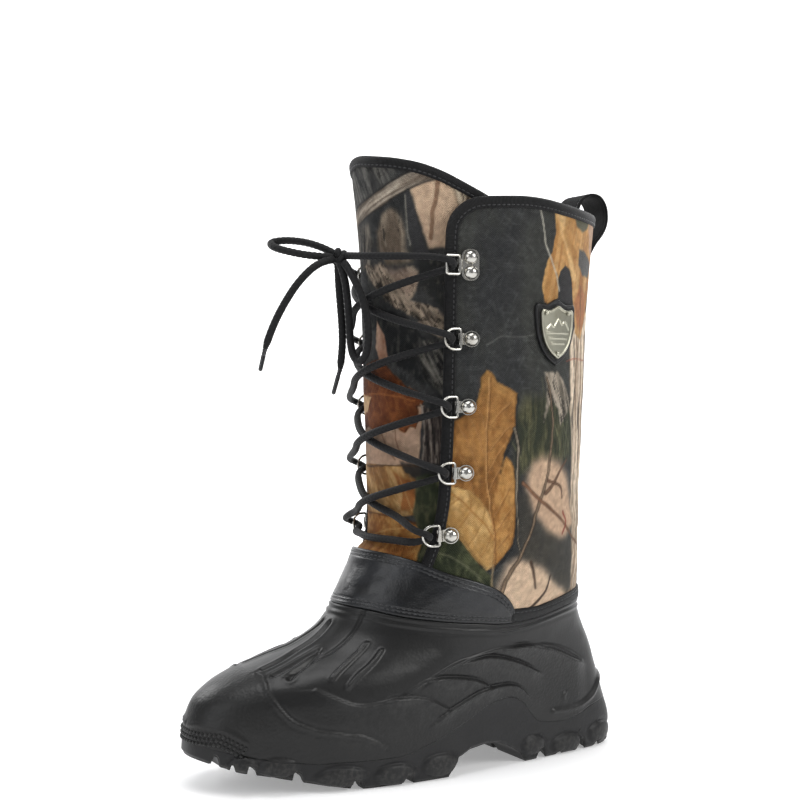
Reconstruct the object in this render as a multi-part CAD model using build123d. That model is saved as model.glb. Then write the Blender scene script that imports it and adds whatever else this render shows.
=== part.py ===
from build123d import *
import math
import os

# Insulated lace-up boot, left foot.  Millimetres, +Z up, toe towards -Y,
# lateral (outer) side towards +X, sole on Z = 0.
#
# The whole outer form is one surface Q(z, theta, off): a closed section at
# each height z, theta = 0 at the toe side, 90 at the lateral side, 180 at the
# heel side, moved inwards by "off".  Every shell and layer of the boot is cut
# from it, so neighbouring layers meet face to face.

# ---------------------------------------------------------------- dimensions
SHIFT = (-0.853, 2.662, 0.0)     # centres the finished boot over its own origin

FORM = [  # z, toe y, heel y, half width, heel width ratio, toe fullness, heel fullness
    (0, -148, 143.7, 51.5, .71, .86, .56), (15, -150, 144.5, 53, .72, .86, .56),
    (35, -149, 139.0, 54, .73, .88, .58), (50, -144, 134.3, 53.5, .75, .88, .60),
    (60, -133, 131.2, 52.8, .78, .89, .63), (66, -120, 129.4, 52.2, .80, .91, .66),
    (72, -101, 127.1, 51.5, .83, .94, .70), (80, -78, 123.5, 51, .87, .97, .76),
    (90, -62, 120.0, 51.5, .93, 1.0, .86), (101, -53, 118.4, 53.5, .98, 1.0, .96),
    (114, -44.5, 117.7, 56, 1.0, 1.0, 1.0), (128, -37, 117, 58, 1.0, 1.0, 1.0),
    (145, -32.5, 116.5, 60, 1.0, 1.0, 1.0), (170, -33.5, 116.8, 61.5, 1.0, 1.0, 1.0),
    (200, -34.5, 118.5, 62, 1.0, 1.0, 1.0), (240, -36, 120.6, 62.5, 1.0, 1.0, 1.0),
    (280, -37, 122.5, 63.2, 1.0, 1.0, 1.0), (320, -39, 126, 64, 1.0, 1.0, 1.0),
    (350, -42, 129.5, 64.7, 1.0, 1.0, 1.0), (390, -47, 134, 65.5, 1.0, 1.0, 1.0)]

FABRIC = 1.5          # outer camouflage fabric
WADDING = 3.0         # insulation layer
FLEECE = 2.0          # shaft lining
STACK = FABRIC + WADDING + FLEECE
TRIM = 1.3            # leather overlay and hem band stand this proud
BIND_OUT = 0.7        # binding stands proud of the fabric, both faces
BIND_IN = STACK + 0.4
BIND_W = 7.0          # binding width
TONGUE_OUT = 7.5      # tongue face, inside the outer form
TONGUE_FAB = 1.5
TONGUE_PAD = 3.0
FOOT_LINING = 2.5
INSOLE_T = 5.0
INSOLE_GAP = 1.5
RAND_T = 3.0          # outsole side wall

LACE_D = 4.2
AGLET_D = 3.0
RING_WIRE = 1.6
RING_LEN = 10.6       # hinge bar to front, wire centres
RING_HALF = 6.2       # half height, wire centres
SQ_LEN = 9.2
SQ_HALF = 5.6
SQ_WIRE = 1.8
HINGE_H = 2.75        # hinge bar height above the form
FRONT_H = 7.0         # ring front height above the form
BARREL_R = 1.8
BARREL_BORE = 1.15
BARREL_W = 7.0
CLIP_T = 0.9
DOME_R = 4.4
DOME_H = 4.0
UTURN = 4.0           # lace centre line to ring wire

RING_AT = [(46.5, 147.1), (54.0, 184.7), (55.4, 224.4), (57.0, 265.1)]
SQUARE_AT = (57.2, 309.4)
TONGUE_AXIS = (0.0, -26.0, 137.0)
TONGUE_SWING = 8.0
INSOLE_AXIS = (0.0, -128.0, 33.0)
INSOLE_LIFT = 4.0

os.makedirs("parts", exist_ok=True)


# ------------------------------------------------------------- outer surface
def pchip(xs, ys):
    n = len(xs)
    h = [xs[i + 1] - xs[i] for i in range(n - 1)]
    d = [(ys[i + 1] - ys[i]) / h[i] for i in range(n - 1)]
    m = [0.0] * n
    for i in range(1, n - 1):
        if d[i - 1] * d[i] > 0:
            w1 = 2 * h[i] + h[i - 1]
            w2 = h[i] + 2 * h[i - 1]
            m[i] = (w1 + w2) / (w1 / d[i - 1] + w2 / d[i])

    def edge(h0, h1, d0, d1):
        v = ((2 * h0 + h1) * d0 - h0 * d1) / (h0 + h1)
        if v * d0 <= 0:
            return 0.0
        if d0 * d1 < 0 and abs(v) > 3 * abs(d0):
            return 3 * d0
        return v
    m[0] = edge(h[0], h[1], d[0], d[1])
    m[-1] = edge(h[-1], h[-2], d[-1], d[-2])

    def f(x):
        x = min(max(x, xs[0]), xs[-1])
        i = 0
        while i < n - 2 and x > xs[i + 1]:
            i += 1
        t = (x - xs[i]) / h[i]
        return ((2 * t ** 3 - 3 * t ** 2 + 1) * ys[i] + (t ** 3 - 2 * t ** 2 + t) * h[i] * m[i]
                + (-2 * t ** 3 + 3 * t ** 2) * ys[i + 1] + (t ** 3 - t ** 2) * h[i] * m[i + 1])
    return f


_COL = [pchip([r[0] for r in FORM], [r[k] for r in FORM]) for k in range(1, 7)]


def q(z, deg, off=0.0, zform=None):
    """Point of the outer form; zform looks the section up at another height."""
    zf = z if zform is None else zform
    yf, yb, ax, gh, pc, hp = [f(zf) for f in _COL]
    th = math.radians(deg)
    c, s = math.cos(th), math.sin(th)
    yc, ay = (yf + yb) / 2, (yb - yf) / 2 - off
    ax -= off
    w = min(max(-c / 0.9, 0), 1)
    pc += (hp - pc) * w * w * (3 - 2 * w)
    t = min(max((0.35 - c) / 1.2, 0), 1)
    t = t * t * (3 - 2 * t)
    g = 1 - (1 - gh) * t
    low = min(max((95 - zf) / 50, 0), 1)
    sh = -3.0 * low * min(max((c + 0.2) / 1.2, 0), 1)
    return Vector(ax * math.copysign(abs(s) ** pc, s) * g + sh, yc - ay * c, z)


N_TH = 36


def section(z, off, zform=None):
    pts = [q(z, 360.0 * i / N_TH, off, zform) for i in range(N_TH)]
    return Wire([Edge.make_spline(pts, periodic=True, parameters=[i / N_TH for i in range(N_TH + 1)])])


def column(zs, off=0.0, lift=0.0):
    """Closed solid through sections; off and lift may be numbers or f(z)."""
    o = off if callable(off) else (lambda z: off)
    d = lift if callable(lift) else (lambda z: lift)
    return Solid.make_loft([section(z, o(z), z + d(z)) for z in zs])


LOW = [-2, 7, 15, 25, 35, 43, 50, 56, 61, 65, 69, 73, 77, 82, 88, 94, 101, 108, 114]
SHAFT = [84, 90, 96, 102, 108, 114, 121, 128, 136, 145, 157, 170, 200, 240, 280, 320, 350, 392]


# ----------------------------------------------------- side-view (Y, Z) cuts
class Curve(list):
    """Side-view points that are joined by one smooth curve."""


def smooth(pts):
    return Curve(pts)


def side(*runs, x0=-90.0, x1=90.0):
    """Prism along X from a closed Y-Z outline: Curves are smooth, lists are straight runs."""
    edges, first, last = [], None, None
    for run in runs:
        v = [Vector(0, p[0], p[1]) for p in run]
        if first is None:
            first = v[0]
        if last is not None and (v[0] - last).length > 1e-6:
            edges.append(Edge.make_line(last, v[0]))
        if isinstance(run, Curve) and len(v) > 2:
            edges.append(Edge.make_spline(v))
        else:
            edges += [Edge.make_line(a, b) for a, b in zip(v[:-1], v[1:])]
        last = v[-1]
    if (last - first).length > 1e-6:
        edges.append(Edge.make_line(last, first))
    f = Face(Wire(edges))
    return extrude(Pos(x0, 0, 0) * f, amount=x1 - x0, dir=(1, 0, 0))


SEAM = [(-70, 105), (-53, 103.2), (-43, 101.6), (-27, 98.2), (-3, 94.8), (16, 92.9), (40, 90.9),
        (60, 92.3), (76, 94.8), (92, 97.3), (113, 98.8), (135, 99.4)]
OVER_TOP = [(-60, 136.6), (-45, 136.5), (-35, 136), (-19, 131.8), (-2, 124.3), (18, 117.9), (32, 111.7),
            (41, 103.7), (44.5, 97.5), (46, 91.0)]
HEM_TOP = [(46.0, 99.8), (60, 99.9), (75, 101.8), (91, 104.3), (113, 107.1), (135, 109)]
BOTTOM = [(-160, 23), (-148, 20), (-133, 15.6), (-120, 12.4), (-109, 10.3), (-95, 7.2), (-77, 3.1), (-63, .6), (-54, 0)]
SOLE_TOP = [(-160, 28), (-139, 24.5), (-120, 20.5), (-100, 17), (-80, 15), (-60, 14), (-20, 14), (5, 18), (20, 21),
            (40, 21), (60, 15.5), (75, 14), (160, 14)]
FOOTBED = [(-160, 38.5), (-139, 34), (-120, 30), (-100, 27), (-80, 25), (-60, 24.3), (-40, 24), (-10, 25.5),
           (20, 28.5), (50, 31.5), (80, 32.5), (160, 32.5)]
RAND = [(-160, 31), (-148, 29), (-120, 22), (-100, 19), (-80, 17), (-40, 17), (-8, 25), (14, 34), (32, 42), (46, 43.5),
        (59, 38), (65, 31), (73, 24.5), (95, 22), (107, 24), (119, 28), (138, 31), (160, 33)]
PLACKET = [(-25, 100), (-22, 114), (-15.6, 127.7), (-12.2, 137), (-9.3, 147), (-7.0, 165), (-6.0, 186), (-5.0, 224),
           (-4.6, 270), (-4.5, 311), (-4.3, 325), (-3.8, 333), (-1.5, 339.5), (3.0, 345.0), (9.5, 348.9), (17, 350.4)]
COLLAR = [(17, 350.4), (30, 351.2), (45, 351.7), (60, 350.9), (75, 349.2), (95, 347.2), (112, 346.4), (140, 346.0)]
TONGUE_TOP = [(-60, 380), (-40, 379.2), (-35.6, 377), (-27, 374.6), (-16, 371.4), (-3.2, 366), (5.2, 361.5),
              (13.6, 357), (22, 352.6), (27, 349.5)]

seam = smooth(SEAM)
over_top = smooth(OVER_TOP)
hem_top = smooth(HEM_TOP)
rand = smooth(RAND)
footbed = smooth(FOOTBED)
sole_top = smooth(SOLE_TOP)
bottom = smooth(BOTTOM)
above_seam = side(seam, [(135, 420), (-70, 420)])
under_seam = side([(-160, 105)], seam, [(160, 99.4), (160, -20), (-160, -20)])
half_l = Pos(100, 0, 200) * Box(200, 500, 500)
half_r = Pos(-100, 0, 200) * Box(200, 500, 500)

# ------------------------------------------------------------- shaft columns
c_trim = column(SHAFT, -TRIM)
c_bind = column(SHAFT, -BIND_OUT)
c_0 = column(SHAFT, 0.0)
c_fab = column(SHAFT, FABRIC)
c_wad = column(SHAFT, FABRIC + WADDING)
c_fle = column(SHAFT, STACK)
c_bin = column(SHAFT, BIND_IN)


def inset_edge(d):
    """Placket and collar line moved into the quarter by d."""
    line = PLACKET + COLLAR[1:]
    out = []
    for i, p in enumerate(line):
        a = line[max(i - 1, 0)]
        b = line[min(i + 1, len(line) - 1)]
        ty, tz = b[0] - a[0], b[1] - a[1]
        n = math.hypot(ty, tz)
        out.append((p[0] + d * tz / n, p[1] - d * ty / n))
    return out


edge0 = inset_edge(0.0)
edge1 = inset_edge(BIND_W)
q_outer = side(Curve(edge0), [(140, 60), (-25, 60)])
q_inner = side([(edge1[0][0], 60)], Curve(edge1), [(140, 60)])
over_cut = side([(-60, 60)], over_top, [(46, 60)])

# quarters: outer fabric, wadding, lining
shaft_part = q_inner & above_seam
fabric = (c_0 - c_fab) & shaft_part
quarter_left = fabric & half_l
quarter_right = fabric & half_r
insulation = (c_fab - c_wad) & shaft_part
fleece_lining = (c_wad - c_fle) & shaft_part

# binding: placket edges and collar, wrapped over all the layers
binding = (c_bind - c_bin) & q_outer & above_seam - over_cut
binding = binding - q_inner
binding_left = binding & half_l
binding_right = binding & half_r

# leather vamp overlay, and the plain hem band behind it
trim_ring = (c_trim - c_0) & above_seam
vamp_overlay = trim_ring & over_cut
hem_band = trim_ring & side([(46.0, 60)], hem_top, [(135, 60)])

# backing that closes the front below the tongue
vamp_backing = (c_0 - column(SHAFT, 8.0)) & above_seam & side(
    [(-60, 60), (-60, 136.0), (-35, 135.4), (-19.6, 131.2), (-16.4, 126.0), (-20, 120), (-22.5, 114), (-25.5, 100), (-25.5, 60)])

# -------------------------------------------------------------------- tongue
t_out = column(SHAFT, TONGUE_OUT)
t_mid = column(SHAFT, TONGUE_OUT + TONGUE_FAB)
t_in = column(SHAFT, TONGUE_OUT + TONGUE_FAB + TONGUE_PAD)
TOP_RUN = [320, 335, 350, 365, 392]
t_bo = column(TOP_RUN, TONGUE_OUT - 0.2)
t_bi = column(TOP_RUN, TONGUE_OUT + TONGUE_FAB + TONGUE_PAD + 0.4)
tt = smooth(TONGUE_TOP)
t_low = Curve([(p[0], p[1] - 6.2) for p in tt])
t_base = [(14.0, 138.0), (-60, 138.0)]
t_body = side(t_low, t_base)
tongue_panel = (t_out - t_mid) & t_body
tongue_lining = (t_mid - t_in) & t_body
tongue_binding = (t_bo - t_bi) & side(tt, Curve(reversed(t_low)))

# --------------------------------------------------------------- lower shell
shell_out = column(LOW, 0.0)
shell_rand = column(LOW, RAND_T)
wall = pchip([20, 40, 60, 80, 95, 103, 120], [11, 9, 6.5, 5.5, 4.8, 4.5, 4.5])
rise = pchip([20, 40, 50, 80, 95, 103, 120], [0, 2, 4, 4, 2, 0, 0])
CAV = [18, 24, 30, 36, 42, 48, 54, 58, 62, 65, 68, 72, 76, 80, 85, 90, 95, 101, 108, 114]
cavity = column(CAV, lambda z: wall(z), lambda z: rise(z))
cavity2 = column(CAV, lambda z: wall(z) + FOOT_LINING, lambda z: rise(z) + min(2.0, max(0.0, (98 - z) / 12)))
cavity3 = column(CAV, lambda z: wall(z) + FOOT_LINING + INSOLE_GAP, lambda z: rise(z) + 2.5)
over_footbed = side(footbed, [(160, 200), (-160, 200)])
over_sole = side(sole_top, [(160, 200), (-160, 200)])
over_bottom = side(bottom, [(160, 0), (160, 200), (-160, 200)])
over_rand = side(rand, [(160, 200), (-160, 200)])
under_rand = side(rand, [(160, -2), (-160, -2)])

shell_body = (shell_out & over_rand) + (shell_rand & over_sole)
lower_shell = (shell_body & under_seam) - (cavity & over_footbed)
foot_lining = ((cavity - cavity2) & over_footbed) & under_seam

# insole: follows the footbed, clear of the lining all the way round
ins_low = Curve([(p[0], p[1] + 0.3) for p in footbed])
ins_high = Curve([(p[0], p[1] + 0.3 + INSOLE_T) for p in reversed(footbed)])
heel_prism = extrude(make_face(section(0, 12.2, 55).edges()), amount=80)
insole = cavity3 & side(ins_low, ins_high) & heel_prism & (Pos(-0, -22.3, 40) * Box(200, 295.4, 80))

# ------------------------------------------------------------------- outsole
outsole = (shell_out & over_bottom & under_rand) - (shell_rand & over_sole)
arch = side(Curve([(2, -5), (3.5, 5), (8, 11), (16, 15), (28, 16.6), (40, 15.5), (50, 11), (58, 6), (61, 0), (62, -5)]))
outsole = outsole - arch
for gy in (-128, -108, -88, -68, -48, -28, -9, 82, 104, 126):
    depth = 5.0
    zb = 0.0 if gy > -60 else pchip([p[0] for p in BOTTOM], [p[1] for p in BOTTOM])(gy)
    outsole = outsole - Pos(0, gy, zb + depth / 2 - 1) * Box(140, 5.0, depth + 2)
outsole = outsole - Pos(0, -66, 3.0) * Box(6.0, 118, 8.0)

# ----------------------------------------------------------------- pull loop
LOOP_W = 25.0
loop_mid = [(q(300, 180, BIND_IN + 3.4).Y, 300), (q(320, 180, BIND_IN + 3.4).Y, 320), (118.0, 342.0), (119.4, 353.0), (123.4, 360.4),
            (130.4, 363.6), (137.4, 362.2), (141.6, 356.6), (142.7, 350.0), (141.9, 343.8), (138.6, 337.6), (133.2, 331.2),
            (q(322, 180, -1.7).Y, 322), (q(312, 180, -1.3).Y, 312)]


def ribbon(mid, t):
    left, right = [], []
    for i, p in enumerate(mid):
        a, b = mid[max(i - 1, 0)], mid[min(i + 1, len(mid) - 1)]
        ty, tz = b[0] - a[0], b[1] - a[1]
        n = math.hypot(ty, tz)
        left.append((p[0] - tz / n * t / 2, p[1] + ty / n * t / 2))
        right.append((p[0] + tz / n * t / 2, p[1] - ty / n * t / 2))
    return Curve(left), Curve(reversed(right))


pull_loop = side(*ribbon(loop_mid, 2.0), x0=-LOOP_W / 2, x1=LOOP_W / 2)

# --------------------------------------------------------------------- badge
BADGE_Y, BADGE_Z = 68.2, 270.0
shield = [(-17, 14), (-15.5, 17.5), (-8, 17), (0, 20.6), (8, 17), (15.5, 17.5), (17, 14), (16, 2), (13, -8), (7.5, -15.5),
          (0, -20.6), (-7.5, -15.5), (-13, -8), (-16, 2)]


def shield_prism(k):
    return side([(BADGE_Y + p[0] * k, BADGE_Z + p[1] * k) for p in shield], x0=20, x1=120)


BADGE_SHAFT = [235, 250, 265, 280, 295, 305]
b0, b1, b2 = column(BADGE_SHAFT, 0.0), column(BADGE_SHAFT, -2.4), column(BADGE_SHAFT, -4.0)
badge_backing = (b1 - b0) & shield_prism(1.0)
badge_plate = (b2 - b1) & shield_prism(0.80)


def frame_at(z, deg, h):
    """Point, outward normal, forward tangent and upward tangent on the form."""
    s = 1.0 if deg >= 0 else -1.0
    p = q(z, deg, -h)
    tu = (q(z, deg - s, 0) - q(z, deg + s, 0)).normalized()
    tz = (q(z + 1, deg, 0) - q(z - 1, deg, 0)).normalized()
    n = tu.cross(tz)
    if n.dot(Vector(p.X, p.Y - 42, 0)) < 0:
        n = n * -1
    n = n.normalized()
    tz = (tz - tu * tz.dot(tu)).normalized()
    return p, n, tu, tz


def dome(p, n, r, h, base=0.6):
    """Rivet head: short cylindrical skirt and a spherical cap."""
    rs = (r * r + (h - base) ** 2) / (2 * (h - base))
    cap = Pos(0, 0, h - rs) * Sphere(rs) & Pos(0, 0, base + 50) * Box(100, 100, 100)
    body = Pos(0, 0, base / 2) * Cylinder(r, base) + cap
    return Plane(origin=p, z_dir=n) * body


pins = []
for by, bz in ((-9.5, 11.6), (9.5, 11.6), (0, -13.2)):
    # angle whose side-view y matches the pin's
    yt = BADGE_Y + by
    lo, hi = 90.0, 140.0
    for _ in range(40):
        m = (lo + hi) / 2
        if q(BADGE_Z + bz, m, -4.0).Y < yt:
            lo = m
        else:
            hi = m
    p, n, tu, tz = frame_at(BADGE_Z + bz, lo, 4.12)
    pins.append(dome(p, n, 1.4, 1.1, 0.25))
badge_pins = Compound(children=pins)


# --------------------------------------------------------- rings, clips, lace
def d_wire(length, half, wire, square):
    r = wire / 2
    parts_ = []
    c = 1.4 if not square else 1.5
    if square:
        pts = [(0, 0), (0, half), (length, half), (length, -half), (0, -half)]
        rect = [(0, -half), (0, half), (length, half), (length, -half)]
        with BuildLine() as bl:
            FilletPolyline(*rect, radius=c, close=True)
        path = bl.wire()
    else:
        with BuildLine() as bl:
            l0 = Line((0, -(half - c)), (0, half - c))
            a0 = RadiusArc((0, half - c), (c, half), c)
            l1 = Line((c, half), (length - half, half))
            a1 = ThreePointArc((length - half, half), (length, 0), (length - half, -half))
            l2 = Line((length - half, -half), (c, -half))
            a2 = RadiusArc((c, -half), (0, -(half - c)), c)
        path = bl.wire()
    start = path @ 0
    tan = path % 0
    prof = Plane(origin=start, z_dir=tan) * Circle(r)
    return sweep(prof, path=path)


def clip_shape(square):
    """Strap plate, flange and hinge barrel; bar axis is local Y at local Z = HINGE_H."""
    z0 = HINGE_H - BARREL_R
    z1 = z0 + CLIP_T
    if square:
        plate = Pos(-6.6, 0, (z0 + z1) / 2) * extrude(RectangleRounded(10.6, 19.0, 4.6), amount=CLIP_T / 2, both=True)
    else:
        plate = Pos(-6.6, 0, (z0 + z1) / 2) * Cylinder(4.9, CLIP_T)
    neck = Pos(-3.3, 0, (z0 + z1) / 2) * Box(6.6, BARREL_W, CLIP_T)
    barrel = Pos(0, 0, HINGE_H) * Rot(90, 0, 0) * Cylinder(BARREL_R, BARREL_W)
    bore = Pos(0, 0, HINGE_H) * Rot(90, 0, 0) * Cylinder(BARREL_BORE, BARREL_W + 2)
    return (plate + neck + barrel) - bore


ring_solids = {}
clip_list, rivet_list, top_clip_list, top_rivet_list = [], [], [], []
joint_lines = []
turns = {}


def ring_set(side_sign, index, deg, z, square=False):
    length = SQ_LEN if square else RING_LEN
    half = SQ_HALF if square else RING_HALF
    wire = SQ_WIRE if square else RING_WIRE
    tilt = math.asin((FRONT_H - HINGE_H) / length)
    deg = deg * side_sign
    # hinge bar lies half a ring behind the ring's centre
    step = (q(z, deg + side_sign, 0) - q(z, deg - side_sign, 0)).length / 2
    dh = deg + side_sign * (length * math.cos(tilt) / 2) / step
    p, n, t, up = frame_at(z, dh, 0.0)
    hinge = p + n * HINGE_H
    t2 = t * math.cos(tilt) + n * math.sin(tilt)
    n2 = n * math.cos(tilt) - t * math.sin(tilt)
    ring = Plane(origin=hinge, x_dir=t2, z_dir=n2) * d_wire(length, half, wire, square)
    seat = Plane(origin=p, x_dir=t, z_dir=n)
    clip = seat * clip_shape(square)
    axis = t.cross(n)
    front = hinge + t2 * length
    top = HINGE_H - BARREL_R + CLIP_T
    if square:
        heads = [dome(seat.from_local_coords(Vector(-6.9, 4.6, top)), n, 4.3, DOME_H), dome(seat.from_local_coords(Vector(-6.6, -4.6, top)), n, 4.3, DOME_H)]
        top_clip_list.append(clip)
        top_rivet_list.extend(heads)
    else:
        clip_list.append(clip)
        rivet_list.append(dome(seat.from_local_coords(Vector(-6.6, 0, top)), n, DOME_R, DOME_H))
    word = "left" if side_sign > 0 else "right"
    name = ("top_ring_" + word) if square else ("d_ring_%s_%d" % (word, index))
    ring_solids[name] = ring
    joint_lines.append((name, hinge, axis))
    turns[(side_sign, index)] = (
        front + t * 6 - n * UTURN - up * 4.5, front - t * 4 - n * UTURN - up * 1.6,
        front - t * 4 + n * UTURN + up * 1.6, front + t * 6 + n * UTURN + up * 4.5)


for sgn in (1, -1):
    for i, (dg, z) in enumerate(RING_AT):
        ring_set(sgn, i + 1, dg, z)
    ring_set(sgn, 5, SQUARE_AT[0], SQUARE_AT[1], True)

ring_clips = Compound(children=clip_list)
ring_rivets = Compound(children=rivet_list)
top_clips = Compound(children=top_clip_list)
top_rivets = Compound(children=top_rivet_list)

KNOT = Vector(-8.0, -45.3, 316.5)


def across(p0, p1, s0, over):
    """Four points of a strand over the tongue, from side s0 to the other side."""
    outs = (1.2, 0.0) if over else (2.8, 3.3)
    out = []
    for deg, fr, o in ((26, .22, outs[0]), (8, .41, outs[1]), (-8, .59, outs[1]), (-26, .78, outs[0])):
        z = p0.Z + (p1.Z - p0.Z) * fr
        out.append(q(z, deg * s0, o))
    return out


lace_pts = [KNOT + Vector(4.5, 1.5, 1.0)]
s = 1
lace_pts += [q(315.8, 14, -5.0), q(315.0, 34, -1.5)]
lower, lb, lc, upper = turns[(1, 5)]
lace_pts += [upper, lc, lb, lower]
for k in (5, 4, 3, 2):
    nxt = turns[(-s, k - 1)]
    lace_pts += across(turns[(s, k)][0], nxt[3], s, over=(k % 2 == 1))
    s = -s
    lace_pts += [nxt[3], nxt[2], nxt[1], nxt[0]]
# bottom bar straight across between the two lowest rings
other = turns[(-s, 1)]
for deg, o in ((24, 2.4), (8, 3.0), (-8, 3.0), (-24, 2.4)):
    lace_pts.append(q(turns[(s, 1)][0].Z + 0.4, deg * s, o))
s = -s
lace_pts += [other[0], other[1], other[2], other[3]]
for k in (1, 2, 3, 4):
    nxt = turns[(-s, k + 1)]
    lace_pts += across(turns[(s, k)][3], nxt[0], s, over=(k % 2 == 1))
    s = -s
    lace_pts += [nxt[0], nxt[1], nxt[2], nxt[3]]
lace_pts += [q(314.8, -44, -6.0), q(315.6, -28, -3.6), KNOT + Vector(-4.5, 2.0, -0.5)]

LOOP_L = [(-11, -48.0, 319.0), (-14, -51.2, 321.6), (-22, -59.7, 326.1), (-31, -68.5, 328.2), (-37, -76.0, 327.9),
          (-35.0, -81.5, 326.0), (-27.0, -82.5, 323.0), (-19.0, -79.4, 320.6), (-13, -70.0, 318.0), (-9.5, -59.0, 316.9), (-8.5, -51.0, 316.4)]
LOOP_R = [(-4.5, -47.5, 312.5), (-1.5, -45.5, 303.5), (-1.0, -44.0, 290.0), (-1.0, -42.8, 276.0), (-0.6, -42.4, 263.5), (2.0, -41.5, 254.5),
          (8.0, -40.2, 251.0), (13.8, -38.6, 255.5), (15.6, -38.0, 264.5), (15.5, -38.6, 278.0), (12.5, -40.8, 292.0), (5.5, -44.0, 305.0), (-1.5, -46.0, 313.0)]
END_L = [(-8.0, -50.5, 315.0), (-5.0, -60.5, 313.8), (-8.0, -73.0, 302.3), (-11.5, -82.4, 287.0), (-13.5, -90.0, 271.0), (-14, -93.6, 259.8)]
TIP_L = [(-14, -93.6, 259.8), (-14.0, -97.0, 245.9)]
END_R = [(-9.5, -46.5, 311.5), (-12.5, -44.6, 300.5), (-13.5, -42.8, 287.0), (-13.0, -41.8, 272.5), (-11.5, -42.4, 259.5), (-9.5, -45.0, 247.5)]
TIP_R = [(-9.5, -45.0, 247.5), (-8.0, -50.6, 231.6)]


def tube(pts, dia, label):
    v = [Vector(*p) if isinstance(p, tuple) else p for p in pts]
    if len(v) == 2:
        w = Wire([Edge.make_line(v[0], v[1])])
        radii = []
    else:
        radii = []
        for a, b, c in zip(v[:-2], v[1:-1], v[2:]):
            turn = (b - a).get_angle(c - b)
            run = min((b - a).length, (c - b).length)
            radii.append(min(0.45 * run / math.tan(math.radians(max(turn, .5)) / 2), 900.0))
        with BuildLine() as bl:
            FilletPolyline(*v, radius=radii)
        w = bl.wire()
    prof = Plane(origin=w @ 0, z_dir=w % 0) * Circle(dia / 2)
    body = sweep(prof, path=w)
    want = math.pi * dia * dia / 4 * w.length
    print("%-16s length %7.1f  volume/section %.4f  radii %s" % (label, w.length, body.volume / want, " ".join("%.0f" % r for r in radii)))
    return body


def place(s):
    return Pos(*SHIFT) * s


NODES = {
    "outsole": outsole, "lower_shell": lower_shell, "foot_lining": foot_lining, "insole": insole,
    "vamp_overlay": vamp_overlay, "vamp_backing": vamp_backing, "hem_band": hem_band,
    "quarter_left": quarter_left, "quarter_right": quarter_right, "insulation": insulation, "fleece_lining": fleece_lining,
    "binding_left": binding_left, "binding_right": binding_right,
    "tongue_panel": tongue_panel, "tongue_lining": tongue_lining, "tongue_binding": tongue_binding,
    "pull_loop": pull_loop, "badge_backing": badge_backing, "badge_plate": badge_plate, "badge_pins": badge_pins,
    "ring_clips": ring_clips, "ring_rivets": ring_rivets, "top_clips": top_clips, "top_rivets": top_rivets,
}
NODES.update(ring_solids)
knot = Plane(origin=KNOT, z_dir=(0, 0, 1)) * Sphere(6.3)
NODES["lace_knot"] = knot
NODES["lace"] = tube(lace_pts, LACE_D, "lace")
NODES["lace_loop_left"] = tube(LOOP_L, LACE_D, "lace_loop_left")
NODES["lace_loop_right"] = tube(LOOP_R, LACE_D, "lace_loop_right")
NODES["lace_end_left"] = tube(END_L, LACE_D, "lace_end_left")
NODES["lace_end_right"] = tube(END_R, LACE_D, "lace_end_right")
NODES["lace_tip_left"] = tube(TIP_L, AGLET_D, "lace_tip_left")
NODES["lace_tip_right"] = tube(TIP_R, AGLET_D, "lace_tip_right")

for name, shape in NODES.items():
    export_step(place(shape), "parts/%s.step" % name)

boxes = [sh.bounding_box() for nm, sh in NODES.items() if not nm.startswith("lace")]
print("BOX", min(b.min.X for b in boxes), max(b.max.X for b in boxes), min(b.min.Y for b in boxes), max(b.max.Y for b in boxes),
      min(b.min.Z for b in boxes), max(b.max.Z for b in boxes))
for name, pos, ax in joint_lines:
    pos = pos + Vector(*SHIFT)
    print("HINGE %s %.3f %.3f %.3f  %.5f %.5f %.5f" % (name, pos.X, pos.Y, pos.Z, ax.X, ax.Y, ax.Z))
print("LACE", " ".join("%.2f,%.2f,%.2f" % (p.X, p.Y, p.Z) for p in lace_pts), flush=True)
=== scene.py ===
import bpy
import math
import numpy as np
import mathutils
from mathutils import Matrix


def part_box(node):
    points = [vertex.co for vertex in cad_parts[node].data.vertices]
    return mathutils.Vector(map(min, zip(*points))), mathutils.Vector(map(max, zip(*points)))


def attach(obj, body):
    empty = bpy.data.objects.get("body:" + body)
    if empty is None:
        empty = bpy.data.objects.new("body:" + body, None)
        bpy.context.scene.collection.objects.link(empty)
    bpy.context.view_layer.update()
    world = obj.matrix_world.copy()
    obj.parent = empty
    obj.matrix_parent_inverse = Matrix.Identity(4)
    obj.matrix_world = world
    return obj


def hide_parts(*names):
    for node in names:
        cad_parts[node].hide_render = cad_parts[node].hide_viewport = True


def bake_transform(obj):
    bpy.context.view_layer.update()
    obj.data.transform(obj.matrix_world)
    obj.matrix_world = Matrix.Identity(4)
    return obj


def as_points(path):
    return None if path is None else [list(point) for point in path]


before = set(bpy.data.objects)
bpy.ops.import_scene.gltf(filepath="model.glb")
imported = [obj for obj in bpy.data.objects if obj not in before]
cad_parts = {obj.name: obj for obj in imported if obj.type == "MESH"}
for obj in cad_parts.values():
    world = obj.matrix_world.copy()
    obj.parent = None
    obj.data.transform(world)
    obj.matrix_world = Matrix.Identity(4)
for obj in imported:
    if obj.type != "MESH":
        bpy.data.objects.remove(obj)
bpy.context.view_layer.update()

# Lace-up insulated boot, left foot.  Toe towards -Y, lateral side +X.
# Numbers are millimetres in the boot's drawing frame; SHIFT centres them.
SHIFT = np.array([-0.853, 2.662, 0.0])
PI = math.pi


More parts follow.
